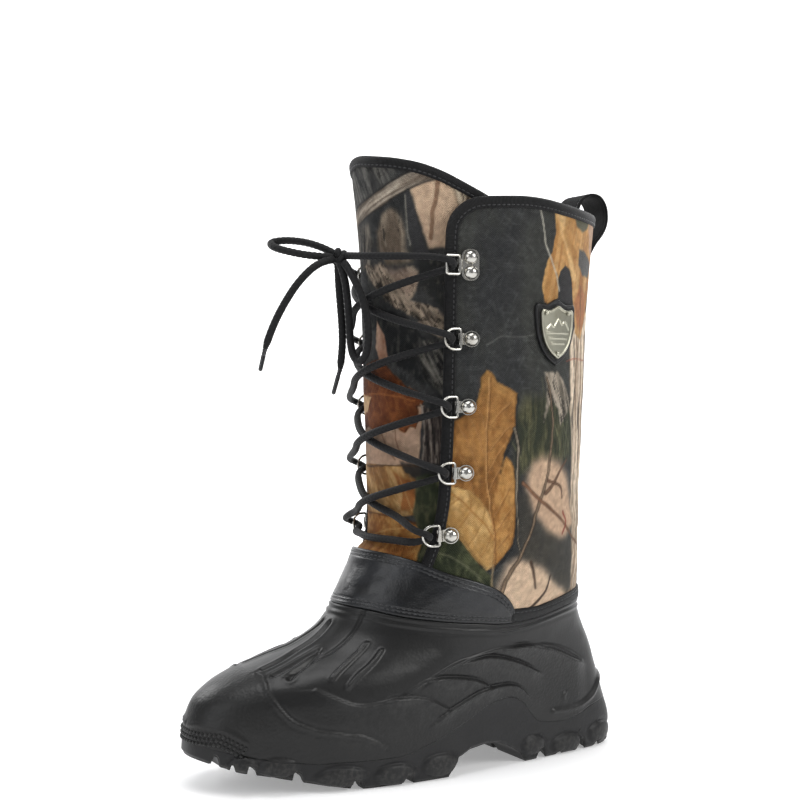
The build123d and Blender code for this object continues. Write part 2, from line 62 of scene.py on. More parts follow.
# =============================================================== the form
FORM = [
    (0, -148, 143.7, 51.5, .71, .86, .56), (15, -150, 144.5, 53, .72, .86, .56),
    (35, -149, 139.0, 54, .73, .88, .58), (50, -144, 134.3, 53.5, .75, .88, .60),
    (60, -133, 131.2, 52.8, .78, .89, .63), (66, -120, 129.4, 52.2, .80, .91, .66),
    (72, -101, 127.1, 51.5, .83, .94, .70), (80, -78, 123.5, 51, .87, .97, .76),
    (90, -62, 120.0, 51.5, .93, 1.0, .86), (101, -53, 118.4, 53.5, .98, 1.0, .96),
    (114, -44.5, 117.7, 56, 1.0, 1.0, 1.0), (128, -37, 117, 58, 1.0, 1.0, 1.0),
    (145, -32.5, 116.5, 60, 1.0, 1.0, 1.0), (170, -33.5, 116.8, 61.5, 1.0, 1.0, 1.0),
    (200, -34.5, 118.5, 62, 1.0, 1.0, 1.0), (240, -36, 120.6, 62.5, 1.0, 1.0, 1.0),
    (280, -37, 122.5, 63.2, 1.0, 1.0, 1.0), (320, -39, 126, 64, 1.0, 1.0, 1.0),
    (350, -42, 129.5, 64.7, 1.0, 1.0, 1.0), (390, -47, 134, 65.5, 1.0, 1.0, 1.0)]


def pchip(xs, ys):
    n = len(xs)
    h = [xs[i + 1] - xs[i] for i in range(n - 1)]
    d = [(ys[i + 1] - ys[i]) / h[i] for i in range(n - 1)]
    m = [0.0] * n
    for i in range(1, n - 1):
        if d[i - 1] * d[i] > 0:
            w1, w2 = 2 * h[i] + h[i - 1], h[i] + 2 * h[i - 1]
            m[i] = (w1 + w2) / (w1 / d[i - 1] + w2 / d[i])

    def edge(h0, h1, d0, d1):
        v = ((2 * h0 + h1) * d0 - h0 * d1) / (h0 + h1)
        if v * d0 <= 0:
            return 0.0
        if d0 * d1 < 0 and abs(v) > 3 * abs(d0):
            return 3 * d0
        return v
    m[0] = edge(h[0], h[1], d[0], d[1])
    m[-1] = edge(h[-1], h[-2], d[-1], d[-2])

    def f(x):
        x = min(max(x, xs[0]), xs[-1])
        i = 0
        while i < n - 2 and x > xs[i + 1]:
            i += 1
        t = (x - xs[i]) / h[i]
        return ((2 * t ** 3 - 3 * t ** 2 + 1) * ys[i] + (t ** 3 - 2 * t ** 2 + t) * h[i] * m[i]
                + (-2 * t ** 3 + 3 * t ** 2) * ys[i + 1] + (t ** 3 - t ** 2) * h[i] * m[i + 1])
    return f


def table(xs, ys, lo, hi, step=0.25):
    f = pchip(xs, ys)
    t = np.arange(lo, hi + step, step)
    v = np.array([f(float(a)) for a in t])
    return lambda x: np.interp(x, t, v)


_COL = [table([r[0] for r in FORM], [r[k] for r in FORM], 0, 392) for k in range(1, 7)]


def Q(z, th, off=0.0, zf=None):
    """Points of the outer form, off inwards, theta in radians, 0 at the toe."""
    z, th, off = np.broadcast_arrays(np.asarray(z, float), np.asarray(th, float), np.asarray(off, float))
    zf = z if zf is None else np.broadcast_to(zf, z.shape)
    yf, yb, ax, gh, pc, hp = [f(zf) for f in _COL]
    c, s = np.cos(th), np.sin(th)
    yc, ay = (yf + yb) / 2, (yb - yf) / 2 - off
    w = np.clip(-c / 0.9, 0, 1)
    p = pc + (hp - pc) * w * w * (3 - 2 * w)
    t = np.clip((0.35 - c) / 1.2, 0, 1)
    g = 1 - (1 - gh) * t * t * (3 - 2 * t)
    low = np.clip((95 - zf) / 50, 0, 1)
    sh = -3.0 * low * np.clip((c + 0.2) / 1.2, 0, 1)
    x = (ax - off) * np.sign(s) * np.abs(s) ** p * g + sh
    return np.stack([x, yc - ay * c, z], -1)


def TH(y, z, off=0.0):
    """Angle (0..pi) whose side-view y is given."""
    yf, yb = _COL[0](z), _COL[1](z)
    yc, ay = (yf + yb) / 2, (yb - yf) / 2 - off
    return np.arccos(np.clip((yc - y) / ay, -1, 1))


def NRM(z, th, off=0.0):
    """Outward unit normal of the form."""
    e = 0.004
    a = Q(z, np.asarray(th) + e, off) - Q(z, np.asarray(th) - e, off)
    b = Q(np.asarray(z) + 0.3, th, off) - Q(np.asarray(z) - 0.3, th, off)
    n = np.cross(a, b)
    l = np.linalg.norm(n, axis=-1, keepdims=True)
    return n / np.maximum(l, 1e-9)


_tt = np.linspace(-PI, PI, 2881)
_pp = Q(240.0, _tt)
_ss = np.concatenate([[0], np.cumsum(np.linalg.norm(np.diff(_pp, axis=0), axis=1))])
_ss = _ss - np.interp(0.0, _tt, _ss)


def ARC(th):
    """Arc length round the shaft at mid height, mm; 0 at the front."""
    return np.interp(th, _tt, _ss)


def UNARC(s):
    return np.interp(s, _ss, _tt)


SEAM = [(-70, 105), (-53, 103.2), (-43, 101.6), (-27, 98.2), (-3, 94.8), (16, 92.9), (40, 90.9),
        (60, 92.3), (76, 94.8), (92, 97.3), (113, 98.8), (135, 99.4)]
OVER_TOP = [(-60, 136.6), (-45, 136.5), (-35, 136), (-19, 131.8), (-2, 124.3), (18, 117.9), (32, 111.7),
            (41, 103.7), (44.5, 97.5), (46, 91.0)]
HEM_TOP = [(46.0, 99.8), (60, 99.9), (75, 101.8), (91, 104.3), (113, 107.1), (135, 109)]
BOTTOM = [(-160, 23), (-148, 20), (-133, 15.6), (-120, 12.4), (-109, 10.3), (-95, 7.2), (-77, 3.1), (-63, .6), (-54, 0), (160, 0)]
FOOTBED = [(-160, 38.5), (-139, 34), (-120, 30), (-100, 27), (-80, 25), (-60, 24.3), (-40, 24), (-10, 25.5),
           (20, 28.5), (50, 31.5), (80, 32.5), (160, 32.5)]
RAND = [(-160, 31), (-148, 29), (-120, 22), (-100, 19), (-80, 17), (-40, 17), (-8, 25), (14, 34), (32, 42), (46, 43.5),
        (59, 38), (65, 31), (73, 24.5), (95, 22), (107, 24), (119, 28), (138, 31), (160, 33)]
PLACKET = [(-25, 100), (-22, 114), (-15.6, 127.7), (-12.2, 137), (-9.3, 147), (-7.0, 165), (-6.0, 186), (-5.0, 224),
           (-4.6, 270), (-4.5, 311), (-4.3, 325), (-3.8, 333), (-1.5, 339.5), (3.0, 345.0), (9.5, 348.9), (17, 350.4)]
COLLAR = [(17, 350.4), (30, 351.2), (45, 351.7), (60, 350.9), (75, 349.2), (95, 347.2), (112, 346.4), (140, 346.0)]
TONGUE_TOP = [(-60, 380), (-40, 379.2), (-35.6, 377), (-27, 374.6), (-16, 371.4), (-3.2, 366), (5.2, 361.5),
              (13.6, 357), (22, 352.6), (27, 349.5)]


def line_of(pts):
    ys = [p[0] for p in pts]
    zs = [p[1] for p in pts]
    return table(ys, zs, ys[0], ys[-1])


f_seam, f_over, f_hem, f_bottom = line_of(SEAM), line_of(OVER_TOP), line_of(HEM_TOP), line_of(BOTTOM)
f_bed, f_rand, f_tongue = line_of(FOOTBED), line_of(RAND), line_of(TONGUE_TOP)


def on_line(th, f, off=0.0, z0=60.0, rounds=60):
    """Height at which the form at angle th meets a side-view line z = f(y)."""
    th = np.asarray(th, float)
    z = np.full(th.shape, float(z0))
    for _ in range(rounds):
        y = Q(z, th, off)[..., 1]
        z = z + 0.5 * (f(y) - z)
    return z


def catmull(pts, n=8, closed=False):
    """Dense smooth line through points."""
    p = np.asarray(pts, float)
    if closed:
        p = np.vstack([p[-1:], p, p[:2]])
    else:
        p = np.vstack([2 * p[0] - p[1], p, 2 * p[-1] - p[-2]])
    out = []
    for i in range(1, len(p) - 2):
        a, b, c, d = p[i - 1], p[i], p[i + 1], p[i + 2]
        t = np.linspace(0, 1, n, endpoint=False)[:, None]
        out.append(0.5 * (2 * b + (c - a) * t + (2 * a - 5 * b + 4 * c - d) * t ** 2 + (3 * b - a - 3 * c + d) * t ** 3))
    if not closed:
        out.append(p[-2:-1])
    return np.vstack(out)


def resample(P, step):
    """Equal steps along a line; returns the points."""
    P = np.asarray(P, float)
    l = np.concatenate([[0], np.cumsum(np.linalg.norm(np.diff(P, axis=0), axis=1))])
    n = max(2, int(round(l[-1] / step)) + 1)
    t = np.linspace(0, l[-1], n)
    return np.stack([np.interp(t, l, P[:, k]) for k in range(P.shape[1])], -1)


def sstep(a, b, x):
    t = np.clip((np.asarray(x, float) - a) / (b - a), 0, 1)
    return t * t * (3 - 2 * t)


# ============================================================ number noise
def _hash(ix, iy, seed):
    n = (ix.astype(np.int64) * 374761393 + iy.astype(np.int64) * 668265263 + int(seed) * 974634777) & 0x7fffffff
    n = ((n ^ (n >> 13)) * 1274126177) & 0x7fffffff
    return ((n ^ (n >> 16)) & 0xffff) / 65535.0


def vnoise(x, y, seed=0):
    x, y = np.broadcast_arrays(np.asarray(x, float), np.asarray(y, float))
    xi, yi = np.floor(x), np.floor(y)
    xf, yf = x - xi, y - yi
    u, v = xf * xf * (3 - 2 * xf), yf * yf * (3 - 2 * yf)
    a, b = _hash(xi, yi, seed), _hash(xi + 1, yi, seed)
    c, d = _hash(xi, yi + 1, seed), _hash(xi + 1, yi + 1, seed)
    return (a * (1 - u) + b * u) * (1 - v) + (c * (1 - u) + d * u) * v


def fbm(x, y, seed=0, octaves=4):
    s, a, t = 0.0, 1.0, 0.0
    for k in range(octaves):
        s = s + a * vnoise(np.asarray(x) * 2 ** k, np.asarray(y) * 2 ** k, seed + 17 * k)
        t += a
        a *= 0.55
    return s / t


# =============================================================== mesh tools
def grid_faces(nu, nv, cu=False, cv=False, base=0, flip=False):
    i = np.arange(nu if cu else nu - 1)
    j = np.arange(nv if cv else nv - 1)
    I, J = np.meshgrid(i, j, indexing="ij")
    I2, J2 = (I + 1) % nu, (J + 1) % nv
    f = np.stack([I * nv + J, I2 * nv + J, I2 * nv + J2, I * nv + J2], -1).reshape(-1, 4) + base
    return f[:, ::-1] if flip else f


def make(name, V, F, mat, uv=None, attrs=None, colour=None, smooth=True, orient=True, raw=True):
    """Mesh object from points (mm, drawing frame) and faces."""
    me = bpy.data.meshes.new(name)
    V = np.asarray(V, float).reshape(-1, 3)
    co = (V + SHIFT) * 0.001 if raw else V
    if isinstance(F, np.ndarray):
        F = [F]
    tot = sum(len(f) for f in F)
    loops = np.concatenate([np.asarray(f, np.int64).ravel() for f in F])
    starts, n = [], 0
    for f in F:
        k = f.shape[1]
        starts.append(n + np.arange(len(f)) * k)
        n += f.size
    starts = np.concatenate(starts)
    me.vertices.add(len(co))
    me.vertices.foreach_set("co", co.astype(np.float32).ravel())
    me.loops.add(len(loops))
    me.loops.foreach_set("vertex_index", loops.astype(np.int32))
    me.polygons.add(tot)
    me.polygons.foreach_set("loop_start", starts.astype(np.int32))
    me.update(calc_edges=True)
    me.validate()
    if orient:
        import bmesh
        bm = bmesh.new()
        bm.from_mesh(me)
        bmesh.ops.recalc_face_normals(bm, faces=bm.faces)
        bm.to_mesh(me)
        bm.free()
    if uv is not None:
        a = me.attributes.new("flat", "FLOAT_VECTOR", "POINT")
        w = np.zeros((len(co), 3), np.float32)
        w[:, :uv.reshape(-1, uv.shape[-1]).shape[1]] = uv.reshape(-1, uv.shape[-1])
        a.data.foreach_set("vector", w.ravel())
    for k, v in (attrs or {}).items():
        a = me.attributes.new(k, "FLOAT", "POINT")
        a.data.foreach_set("value", np.asarray(v, np.float32).ravel())
    if colour is not None:
        a = me.attributes.new("paint", "FLOAT_COLOR", "POINT")
        w = np.ones((len(co), 4), np.float32)
        w[:, :3] = colour.reshape(-1, 3)
        a.data.foreach_set("color", w.ravel())
    if smooth:
        me.polygons.foreach_set("use_smooth", np.ones(len(me.polygons), bool))
    me.update()
    ob = bpy.data.objects.new(name, me)
    bpy.context.scene.collection.objects.link(ob)
    ob.data.materials.append(mat)
    return ob


def finish_piece(ob, body, slot, *nodes, auto=None):
    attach(ob, body)
    if nodes:
        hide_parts(*nodes)
    return ob


def shut(V_out, V_in, F):
    """Closed shell: outer faces, the same faces inside, and walls along the open edges."""
    n = len(V_out)
    e = np.concatenate([np.stack([F[:, k], F[:, (k + 1) % F.shape[1]]], -1) for k in range(F.shape[1])])
    key = np.sort(e, axis=1)
    code = key[:, 0].astype(np.int64) * (n + 1) + key[:, 1]
    u, idx, cnt = np.unique(code, return_index=True, return_counts=True)
    b = e[idx[cnt == 1]]
    walls = np.stack([b[:, 1], b[:, 0], b[:, 0] + n, b[:, 1] + n], -1)
    return np.vstack([V_out, V_in]), [F, F[:, ::-1] + n, walls]


def compact(V, F, *arrays):
    used = np.unique(np.concatenate([f.ravel() for f in F]))
    m = np.full(len(V), -1)
    m[used] = np.arange(len(used))
    return [V[used], [m[f] for f in F]] + [None if a is None else a[used] for a in arrays]


def sweep(path, N, prof, closed=False, caps=True):
    """Solid swept along path; prof is (across, outward) in mm.  Returns V, F, uv (along, round)."""
    P = np.asarray(path, float)
    T = np.roll(P, -1, 0) - np.roll(P, 1, 0) if closed else np.gradient(P, axis=0)
    T = T / np.linalg.norm(T, axis=1, keepdims=True)
    N = N - (N * T).sum(1, keepdims=True) * T
    N = N / np.linalg.norm(N, axis=1, keepdims=True)
    B = np.cross(T, N)
    prof = np.asarray(prof, float)
    if prof.ndim == 2:
        prof = np.broadcast_to(prof, (len(P),) + prof.shape)
    m = prof.shape[1]
    V = P[:, None, :] + B[:, None, :] * prof[..., 0:1] + N[:, None, :] * prof[..., 1:2]
    l = np.concatenate([[0], np.cumsum(np.linalg.norm(np.diff(P, axis=0), axis=1))])
    r = np.concatenate([[0], np.cumsum(np.linalg.norm(np.diff(prof[0], axis=0), axis=1))])
    uv = np.stack(np.broadcast_arrays(l[:, None], r[None, :]), -1)
    F = [grid_faces(len(P), m, cu=closed, cv=True)]
    V = V.reshape(-1, 3)
    uv = uv.reshape(-1, 2)
    if not closed and caps:
        c0, c1 = V[:m].mean(0), V[-m:].mean(0)
        k = len(V)
        V = np.vstack([V, c0, c1])
        uv = np.vstack([uv, uv[0], uv[-1]])
        j = np.arange(m)
        F.append(np.stack([j, (j + 1) % m, np.full(m, k)], -1))
        j2 = j + k - m
        F.append(np.stack([(j + 1) % m + k - m, j2, np.full(m, k + 1)], -1))
    return V, F, uv


def capsules(P, T, N, length, radius, flat=0.7, nl=6, nr=6):
    """Many little stitches: centres P, direction T, normal N."""
    T = T / np.linalg.norm(T, axis=1, keepdims=True)
    N = N - (N * T).sum(1, keepdims=True) * T
    N = N / np.maximum(np.linalg.norm(N, axis=1, keepdims=True), 1e-9)
    B = np.cross(T, N)
    t = np.linspace(-1, 1, nl)
    w = np.sqrt(np.clip(1 - np.abs(t) ** 3.0, 0, 1)) * 0.92 + 0.08
    a = np.arange(nr) * 2 * PI / nr
    base = np.stack(np.broadcast_arrays(t[:, None] * length / 2, (w[:, None] * np.cos(a)) * radius, (w[:, None] * np.sin(a)) * radius * flat), -1).reshape(-1, 3)
    V = P[:, None, :] + T[:, None, :] * base[None, :, 0:1] + B[:, None, :] * base[None, :, 1:2] + N[:, None, :] * base[None, :, 2:3]
    m = nl * nr
    f = grid_faces(nl, nr, cv=True)
    F4 = (f[None] + (np.arange(len(P)) * m)[:, None, None]).reshape(-1, 4)
    cap0 = np.arange(nr)[::-1][None] + (np.arange(len(P)) * m)[:, None]
    cap1 = (np.arange(nr) + m - nr)[None] + (np.arange(len(P)) * m)[:, None]
    return V.reshape(-1, 3), [F4, cap0, cap1]


def stitches(name, path, N, body, mat, step=3.4, length=2.3, radius=0.36, lift=0.12, slot="black_leather"):
    """A row of sewn stitches along path (points on the surface, normals N)."""
    both = resample(np.hstack([path, N]), step)
    P, n = both[:, :3], both[:, 3:]
    n = n / np.linalg.norm(n, axis=1, keepdims=True)
    T = np.gradient(P, axis=0)
    V, F = capsules(P + n * lift, T, n, length, radius)
    ob = make(name, V, F, mat, orient=False)
    return finish_piece(ob, body, slot)


def dist_line(P, L):
    """Distance of points P (n,k) to the polyline L (m,k)."""
    best = np.full(len(P), 1e9)
    for a, b in zip(L[:-1], L[1:]):
        d = b - a
        t = np.clip(((P - a) @ d) / max(d @ d, 1e-12), 0, 1)
        q = P - (a + t[:, None] * d)
        best = np.minimum(best, (q * q).sum(1))
    return np.sqrt(best)


def along_line(P, L):
    """Distance and share of the length (0..1) along the polyline L."""
    best = np.full(len(P), 1e9)
    where = np.zeros(len(P))
    l = np.concatenate([[0], np.cumsum(np.linalg.norm(np.diff(L, axis=0), axis=1))])
    for k, (a, b) in enumerate(zip(L[:-1], L[1:])):
        d = b - a
        t = np.clip(((P - a) @ d) / max(d @ d, 1e-12), 0, 1)
        q = P - (a + t[:, None] * d)
        r = (q * q).sum(1)
        m = r < best
        best[m] = r[m]
        where[m] = (l[k] + t[m] * (l[k + 1] - l[k])) / l[-1]
    return np.sqrt(best), where


def inside(x, y, poly):
    """Which points lie in a polygon."""
    poly = np.asarray(poly, float)
    res = np.zeros(np.shape(x), bool)
    xa, ya = poly[:, 0], poly[:, 1]
    xb, yb = np.roll(xa, -1), np.roll(ya, -1)
    for x0, y0, x1, y1 in zip(xa, ya, xb, yb):
        if y0 == y1:
            continue
        c = ((y0 > y) != (y1 > y)) & (x < (x1 - x0) * (y - y0) / (y1 - y0) + x0)
        res ^= c
    return res


# ================================================================ materials
class Nodes:
    """A small helper for building node materials."""

    def __init__(self, name, **sockets):
        self.mat = bpy.data.materials.new(name)
        self.mat.use_nodes = True
        self.t = self.mat.node_tree
        self.bsdf = next(n for n in self.t.nodes if n.type == "BSDF_PRINCIPLED")
        for k, v in sockets.items():
            self.bsdf.inputs[k.replace("_", " ")].default_value = v
        self.out = self.bsdf.outputs[0]

    def new(self, kind, **props):
        n = self.t.nodes.new(kind)
        for k, v in props.items():
            setattr(n, k, v)
        return n

    def put(self, sock, v):
        if hasattr(v, "is_output") or isinstance(v, bpy.types.NodeSocket):
            self.t.links.new(v, sock)
        else:
            sock.default_value = v

    def math(self, op, a, b=0.0, c=None, clamp=False):
        n = self.new("ShaderNodeMath", operation=op, use_clamp=clamp)
        self.put(n.inputs[0], a)
        self.put(n.inputs[1], b)
        if c is not None:
            self.put(n.inputs[2], c)
        return n.outputs[0]

    def coord(self):
        return self.new("ShaderNodeTexCoord").outputs["Object"]

    def attr(self, name, out="Vector"):
        return self.new("ShaderNodeAttribute", attribute_name=name).outputs[out]

    def sep(self, v):
        n = self.new("ShaderNodeSeparateXYZ")
        self.put(n.inputs[0], v)
        return n.outputs

    def scaled(self, v, s):
        n = self.new("ShaderNodeVectorMath", operation="MULTIPLY")
        self.put(n.inputs[0], v)
        n.inputs[1].default_value = s
        return n.outputs[0]

    def noise(self, v, scale, detail=3.0, rough=0.55, dist=0.0):
        n = self.new("ShaderNodeTexNoise")
        self.put(n.inputs["Vector"], v)
        n.inputs["Scale"].default_value = scale
        n.inputs["Detail"].default_value = detail
        n.inputs["Roughness"].default_value = rough
        n.inputs["Distortion"].default_value = dist
        return n.outputs[0]

    def voronoi(self, v, scale, feature="F1", out="Distance", rnd=1.0):
        n = self.new("ShaderNodeTexVoronoi", feature=feature)
        self.put(n.inputs["Vector"], v)
        n.inputs["Scale"].default_value = scale
        n.inputs["Randomness"].default_value = rnd
        return n.outputs[out]

    def ramp(self, f, lo, hi, a=0.0, b=1.0):
        n = self.new("ShaderNodeMapRange", interpolation_type="SMOOTHSTEP")
        self.put(n.inputs[0], f)
        for i, x in enumerate((lo, hi, a, b)):
            n.inputs[i + 1].default_value = x
        return n.outputs[0]

    def mix(self, f, a, b, blend="MIX"):
        n = self.new("ShaderNodeMix", data_type="RGBA", blend_type=blend)
        self.put(n.inputs[0], f)
        for s, v in ((n.inputs[6], a), (n.inputs[7], b)):
            self.put(s, v if isinstance(v, bpy.types.NodeSocket) else (tuple(v) + (1.0,))[:4])
        return n.outputs[2]

    def bump(self, h, dist, strength=1.0, normal=None):
        n = self.new("ShaderNodeBump")
        self.put(n.inputs["Height"], h)
        n.inputs["Distance"].default_value = dist
        n.inputs["Strength"].default_value = strength
        if normal is not None:
            self.put(n.inputs["Normal"], normal)
        return n.outputs[0]

    def colour(self, v):
        self.put(self.bsdf.inputs["Base Color"], v)

    def rough(self, v):
        self.put(self.bsdf.inputs["Roughness"], v)

    def normal(self, v):
        self.put(self.bsdf.inputs["Normal"], v)


def lin(r, g, b):
    f = lambda c: (c / 255 / 12.92) if c / 255 <= 0.04045 else ((c / 255 + 0.055) / 1.055) ** 2.4
    return (f(r), f(g), f(b))


def linear(a):
    a = np.clip(np.asarray(a, float) / 255, 0, 1)
    return np.where(a <= 0.04045, a / 12.92, ((a + 0.055) / 1.055) ** 2.4)


def mat_shell():
    m = Nodes("moulded_shell", Specular_IOR_Level=0.30, Coat_Weight=0.08, Coat_Roughness=0.28)
    co = m.coord()
    grain = m.attr("grain", "Fac")
    n1 = m.noise(co, 22, 4)
    n2 = m.noise(co, 240, 3)
    pebble = m.voronoi(co, 620, "SMOOTH_F1")
    pore = m.noise(co, 1700, 2)
    wear = m.attr("wear", "Fac")
    dust = m.math("MULTIPLY", m.ramp(n1, 0.45, 0.8), 0.35)
    base = m.mix(dust, lin(23, 23, 23), lin(34, 34, 33))
    base = m.mix(m.math("MULTIPLY", wear, m.ramp(n2, 0.3, 0.75), clamp=True), base, lin(56, 56, 55))
    m.colour(base)
    r = m.math("ADD", m.math("MULTIPLY", n1, 0.12), m.math("MULTIPLY", n2, 0.10))
    m.rough(m.math("ADD", m.math("ADD", r, 0.27), m.math("MULTIPLY", grain, 0.05)))
    b0 = m.bump(pore, 0.00005, 0.5)
    h = m.math("MULTIPLY", pebble, m.math("ADD", m.math("MULTIPLY", grain, 0.9), 0.12))
    m.normal(m.bump(h, 0.00030, 0.8, b0))
    return m.mat


def mat_sole():
    m = Nodes("sole_rubber", Specular_IOR_Level=0.3)
    co = m.coord()
    n1 = m.noise(co, 35, 5)
    n2 = m.noise(co, 420, 3)
    wear = m.attr("wear", "Fac")
    base = m.mix(m.ramp(n1, 0.4, 0.75, 0.0, 0.6), lin(25, 25, 26), lin(35, 35, 35))
    base = m.mix(m.math("MULTIPLY", wear, m.ramp(n2, 0.35, 0.7), clamp=True), base, lin(60, 59, 57))
    m.colour(base)
    m.rough(m.math("ADD", m.math("MULTIPLY", n1, 0.18), 0.36))
    m.normal(m.bump(n2, 0.00022, 0.8))
    return m.mat


def mat_leather(name="grained_leather", c=(10, 11, 13), c2=(19, 21, 25), rough=0.27, spec=0.42, coat=0.16):
    m = Nodes(name, Specular_IOR_Level=spec, Coat_Weight=coat, Coat_Roughness=0.24)
    co = m.coord()
    fold = m.noise(m.scaled(co, (1, 1, 1.7)), 46, 2, 0.5, 0.4)
    cell = m.voronoi(co, 560, "DISTANCE_TO_EDGE")
    fine = m.noise(co, 900, 3)
    base = m.mix(m.ramp(fold, 0.35, 0.7), lin(*c), lin(*c2))
    m.colour(base)
    m.rough(m.math("ADD", m.math("ADD", m.math("MULTIPLY", fold, 0.16), m.math("MULTIPLY", fine, 0.1)), rough - 0.08))
    b0 = m.bump(m.ramp(cell, 0.0, 0.22), 0.00007, 0.6)
    b1 = m.bump(fold, 0.0012, 0.7, b0)
    m.normal(m.bump(fine, 0.00003, 0.5, b1))
    return m.mat


def weave_nodes(m, pitch_u, pitch_v, plain=True):
    """Height of a plain weave from the flat (along, up) millimetre coordinates."""
    u, v, _ = m.sep(m.attr("flat"))
    a = m.math("SINE", m.math("MULTIPLY", u, 2 * PI / pitch_u))
    b = m.math("SINE", m.math("MULTIPLY", v, 2 * PI / pitch_v))
    if plain:
        return m.math("MULTIPLY", a, b), u, v
    return m.math("MAXIMUM", a, b), u, v


def mat_camo(name="camouflage_fabric"):
    m = Nodes(name, Specular_IOR_Level=0.14, Sheen_Weight=0.02, Sheen_Roughness=0.5)
    co = m.coord()
    weave, u, v = weave_nodes(m, 1.45, 1.25)
    fine = m.noise(co, 1500, 2)
    n1 = m.noise(co, 300, 4)
    n2 = m.noise(co, 34, 4)
    paint = m.attr("paint", "Color")
    tone = m.math("ADD", m.math("MULTIPLY", n1, 0.36), m.math("MULTIPLY", weave, 0.10))
    tone = m.math("ADD", m.math("ADD", tone, m.math("MULTIPLY", n2, 0.22)), 0.62)
    hsv = m.new("ShaderNodeHueSaturation")
    m.put(hsv.inputs["Color"], paint)
    m.put(hsv.inputs["Value"], tone)
    hsv.inputs["Saturation"].default_value = 1.0
    m.colour(hsv.outputs[0])
    m.rough(m.math("ADD", m.math("MULTIPLY", fine, 0.2), 0.56))
    b0 = m.bump(fine, 0.00012, 0.5)
    m.normal(m.bump(weave, 0.00030, 0.75, b0))
    return m.mat


def mat_binding():
    m = Nodes("woven_binding", Specular_IOR_Level=0.22, Sheen_Weight=0.06, Sheen_Roughness=0.4)
    u, v, _ = m.sep(m.attr("flat"))
    rib = m.math("SINE", m.math("MULTIPLY", u, 2 * PI / 0.9))
    warp = m.math("SINE", m.math("ADD", m.math("MULTIPLY", v, 2 * PI / 0.8), m.math("MULTIPLY", rib, 0.8)))
    co = m.coord()
    n = m.noise(co, 380, 3)
    base = m.mix(m.ramp(n, 0.3, 0.8), lin(12, 12, 13), lin(24, 24, 25))
    m.colour(base)
    m.rough(m.math("ADD", m.math("MULTIPLY", n, 0.25), 0.42))
    b0 = m.bump(warp, 0.00010, 0.6)
    m.normal(m.bump(rib, 0.00020, 0.8, b0))
    return m.mat


def mat_thread():
    m = Nodes("sewing_thread", Specular_IOR_Level=0.5, Sheen_Weight=0.2)
    co = m.coord()
    n = m.noise(co, 1400, 2)
    m.colour(m.mix(n, lin(20, 20, 22), lin(44, 45, 48)))
    m.rough(m.math("ADD", m.math("MULTIPLY", n, 0.2), 0.4))
    m.normal(m.bump(n, 0.0001, 0.5))
    return m.mat


def mat_lace():
    m = Nodes("braided_lace", Specular_IOR_Level=0.2, Sheen_Weight=0.08, Sheen_Roughness=0.45)
    co = m.coord()
    n = m.noise(co, 1300, 3)
    br = m.attr("braid", "Fac")
    m.colour(m.mix(m.math("ADD", m.math("MULTIPLY", n, 0.5), m.math("MULTIPLY", br, 0.5), clamp=True), lin(8, 8, 9), lin(28, 28, 29)))
    m.rough(m.math("ADD", m.math("MULTIPLY", n, 0.25), 0.48))
    m.normal(m.bump(n, 0.00012, 0.7))
    return m.mat


def mat_metal(name="nickel", c=(196, 194, 188), rough=0.14, brushed=False):
    m = Nodes(name, Metallic=1.0)
    co = m.coord()
    n1 = m.noise(co, 90, 4)
    n2 = m.noise(m.scaled(co, (1, 1, 9)) if brushed else co, 900 if not brushed else 420, 3)
    tarnish = m.ramp(n1, 0.45, 0.75)
    m.colour(m.mix(m.math("MULTIPLY", tarnish, 0.5), lin(*c), lin(c[0] * 0.72, c[1] * 0.70, c[2] * 0.66)))
    m.rough(m.math("ADD", m.math("ADD", m.math("MULTIPLY", n2, 0.14), m.math("MULTIPLY", tarnish, 0.08)), rough))
    m.normal(m.bump(n2, 0.00003 if not brushed else 0.00005, 0.6))
    return m.mat


def mat_fleece(name="pile_fleece", c=(66, 64, 62), c2=(104, 101, 96)):
    m = Nodes(name, Specular_IOR_Level=0.2, Sheen_Weight=0.5, Sheen_Roughness=0.6)
    co = m.coord()
    curl = m.noise(co, 420, 5, 0.7, 1.2)
    n = m.noise(co, 60, 3)
    m.colour(m.mix(m.ramp(curl, 0.3, 0.7), lin(*c), lin(*c2)))
    m.rough(m.math("ADD", m.math("MULTIPLY", n, 0.1), 0.85))
    m.normal(m.bump(curl, 0.0014, 0.9))
    return m.mat


def mat_felt(name, c, c2, scale=700):
    m = Nodes(name, Specular_IOR_Level=0.25, Sheen_Weight=0.3, Sheen_Roughness=0.5)
    co = m.coord()
    n = m.noise(co, scale, 5, 0.7, 0.8)
    n2 = m.noise(co, 40, 3)
    m.colour(m.mix(m.math("ADD", m.math("MULTIPLY", n, 0.7), m.math("MULTIPLY", n2, 0.3)), lin(*c), lin(*c2)))
    m.rough(m.math("ADD", m.math("MULTIPLY", n2, 0.1), 0.82))
    m.normal(m.bump(n, 0.0006, 0.8))
    return m.mat


def mat_plastic(name="lace_tip", c=(16, 16, 18)):
    m = Nodes(name, Specular_IOR_Level=0.55, Coat_Weight=0.4, Coat_Roughness=0.12)
    co = m.coord()
    n = m.noise(co, 600, 3)
    m.colour(m.mix(n, lin(*c), lin(c[0] + 18, c[1] + 18, c[2] + 19)))
    m.rough(m.math("ADD", m.math("MULTIPLY", n, 0.12), 0.2))
    m.normal(m.bump(n, 0.00004, 0.5))
    return m.mat


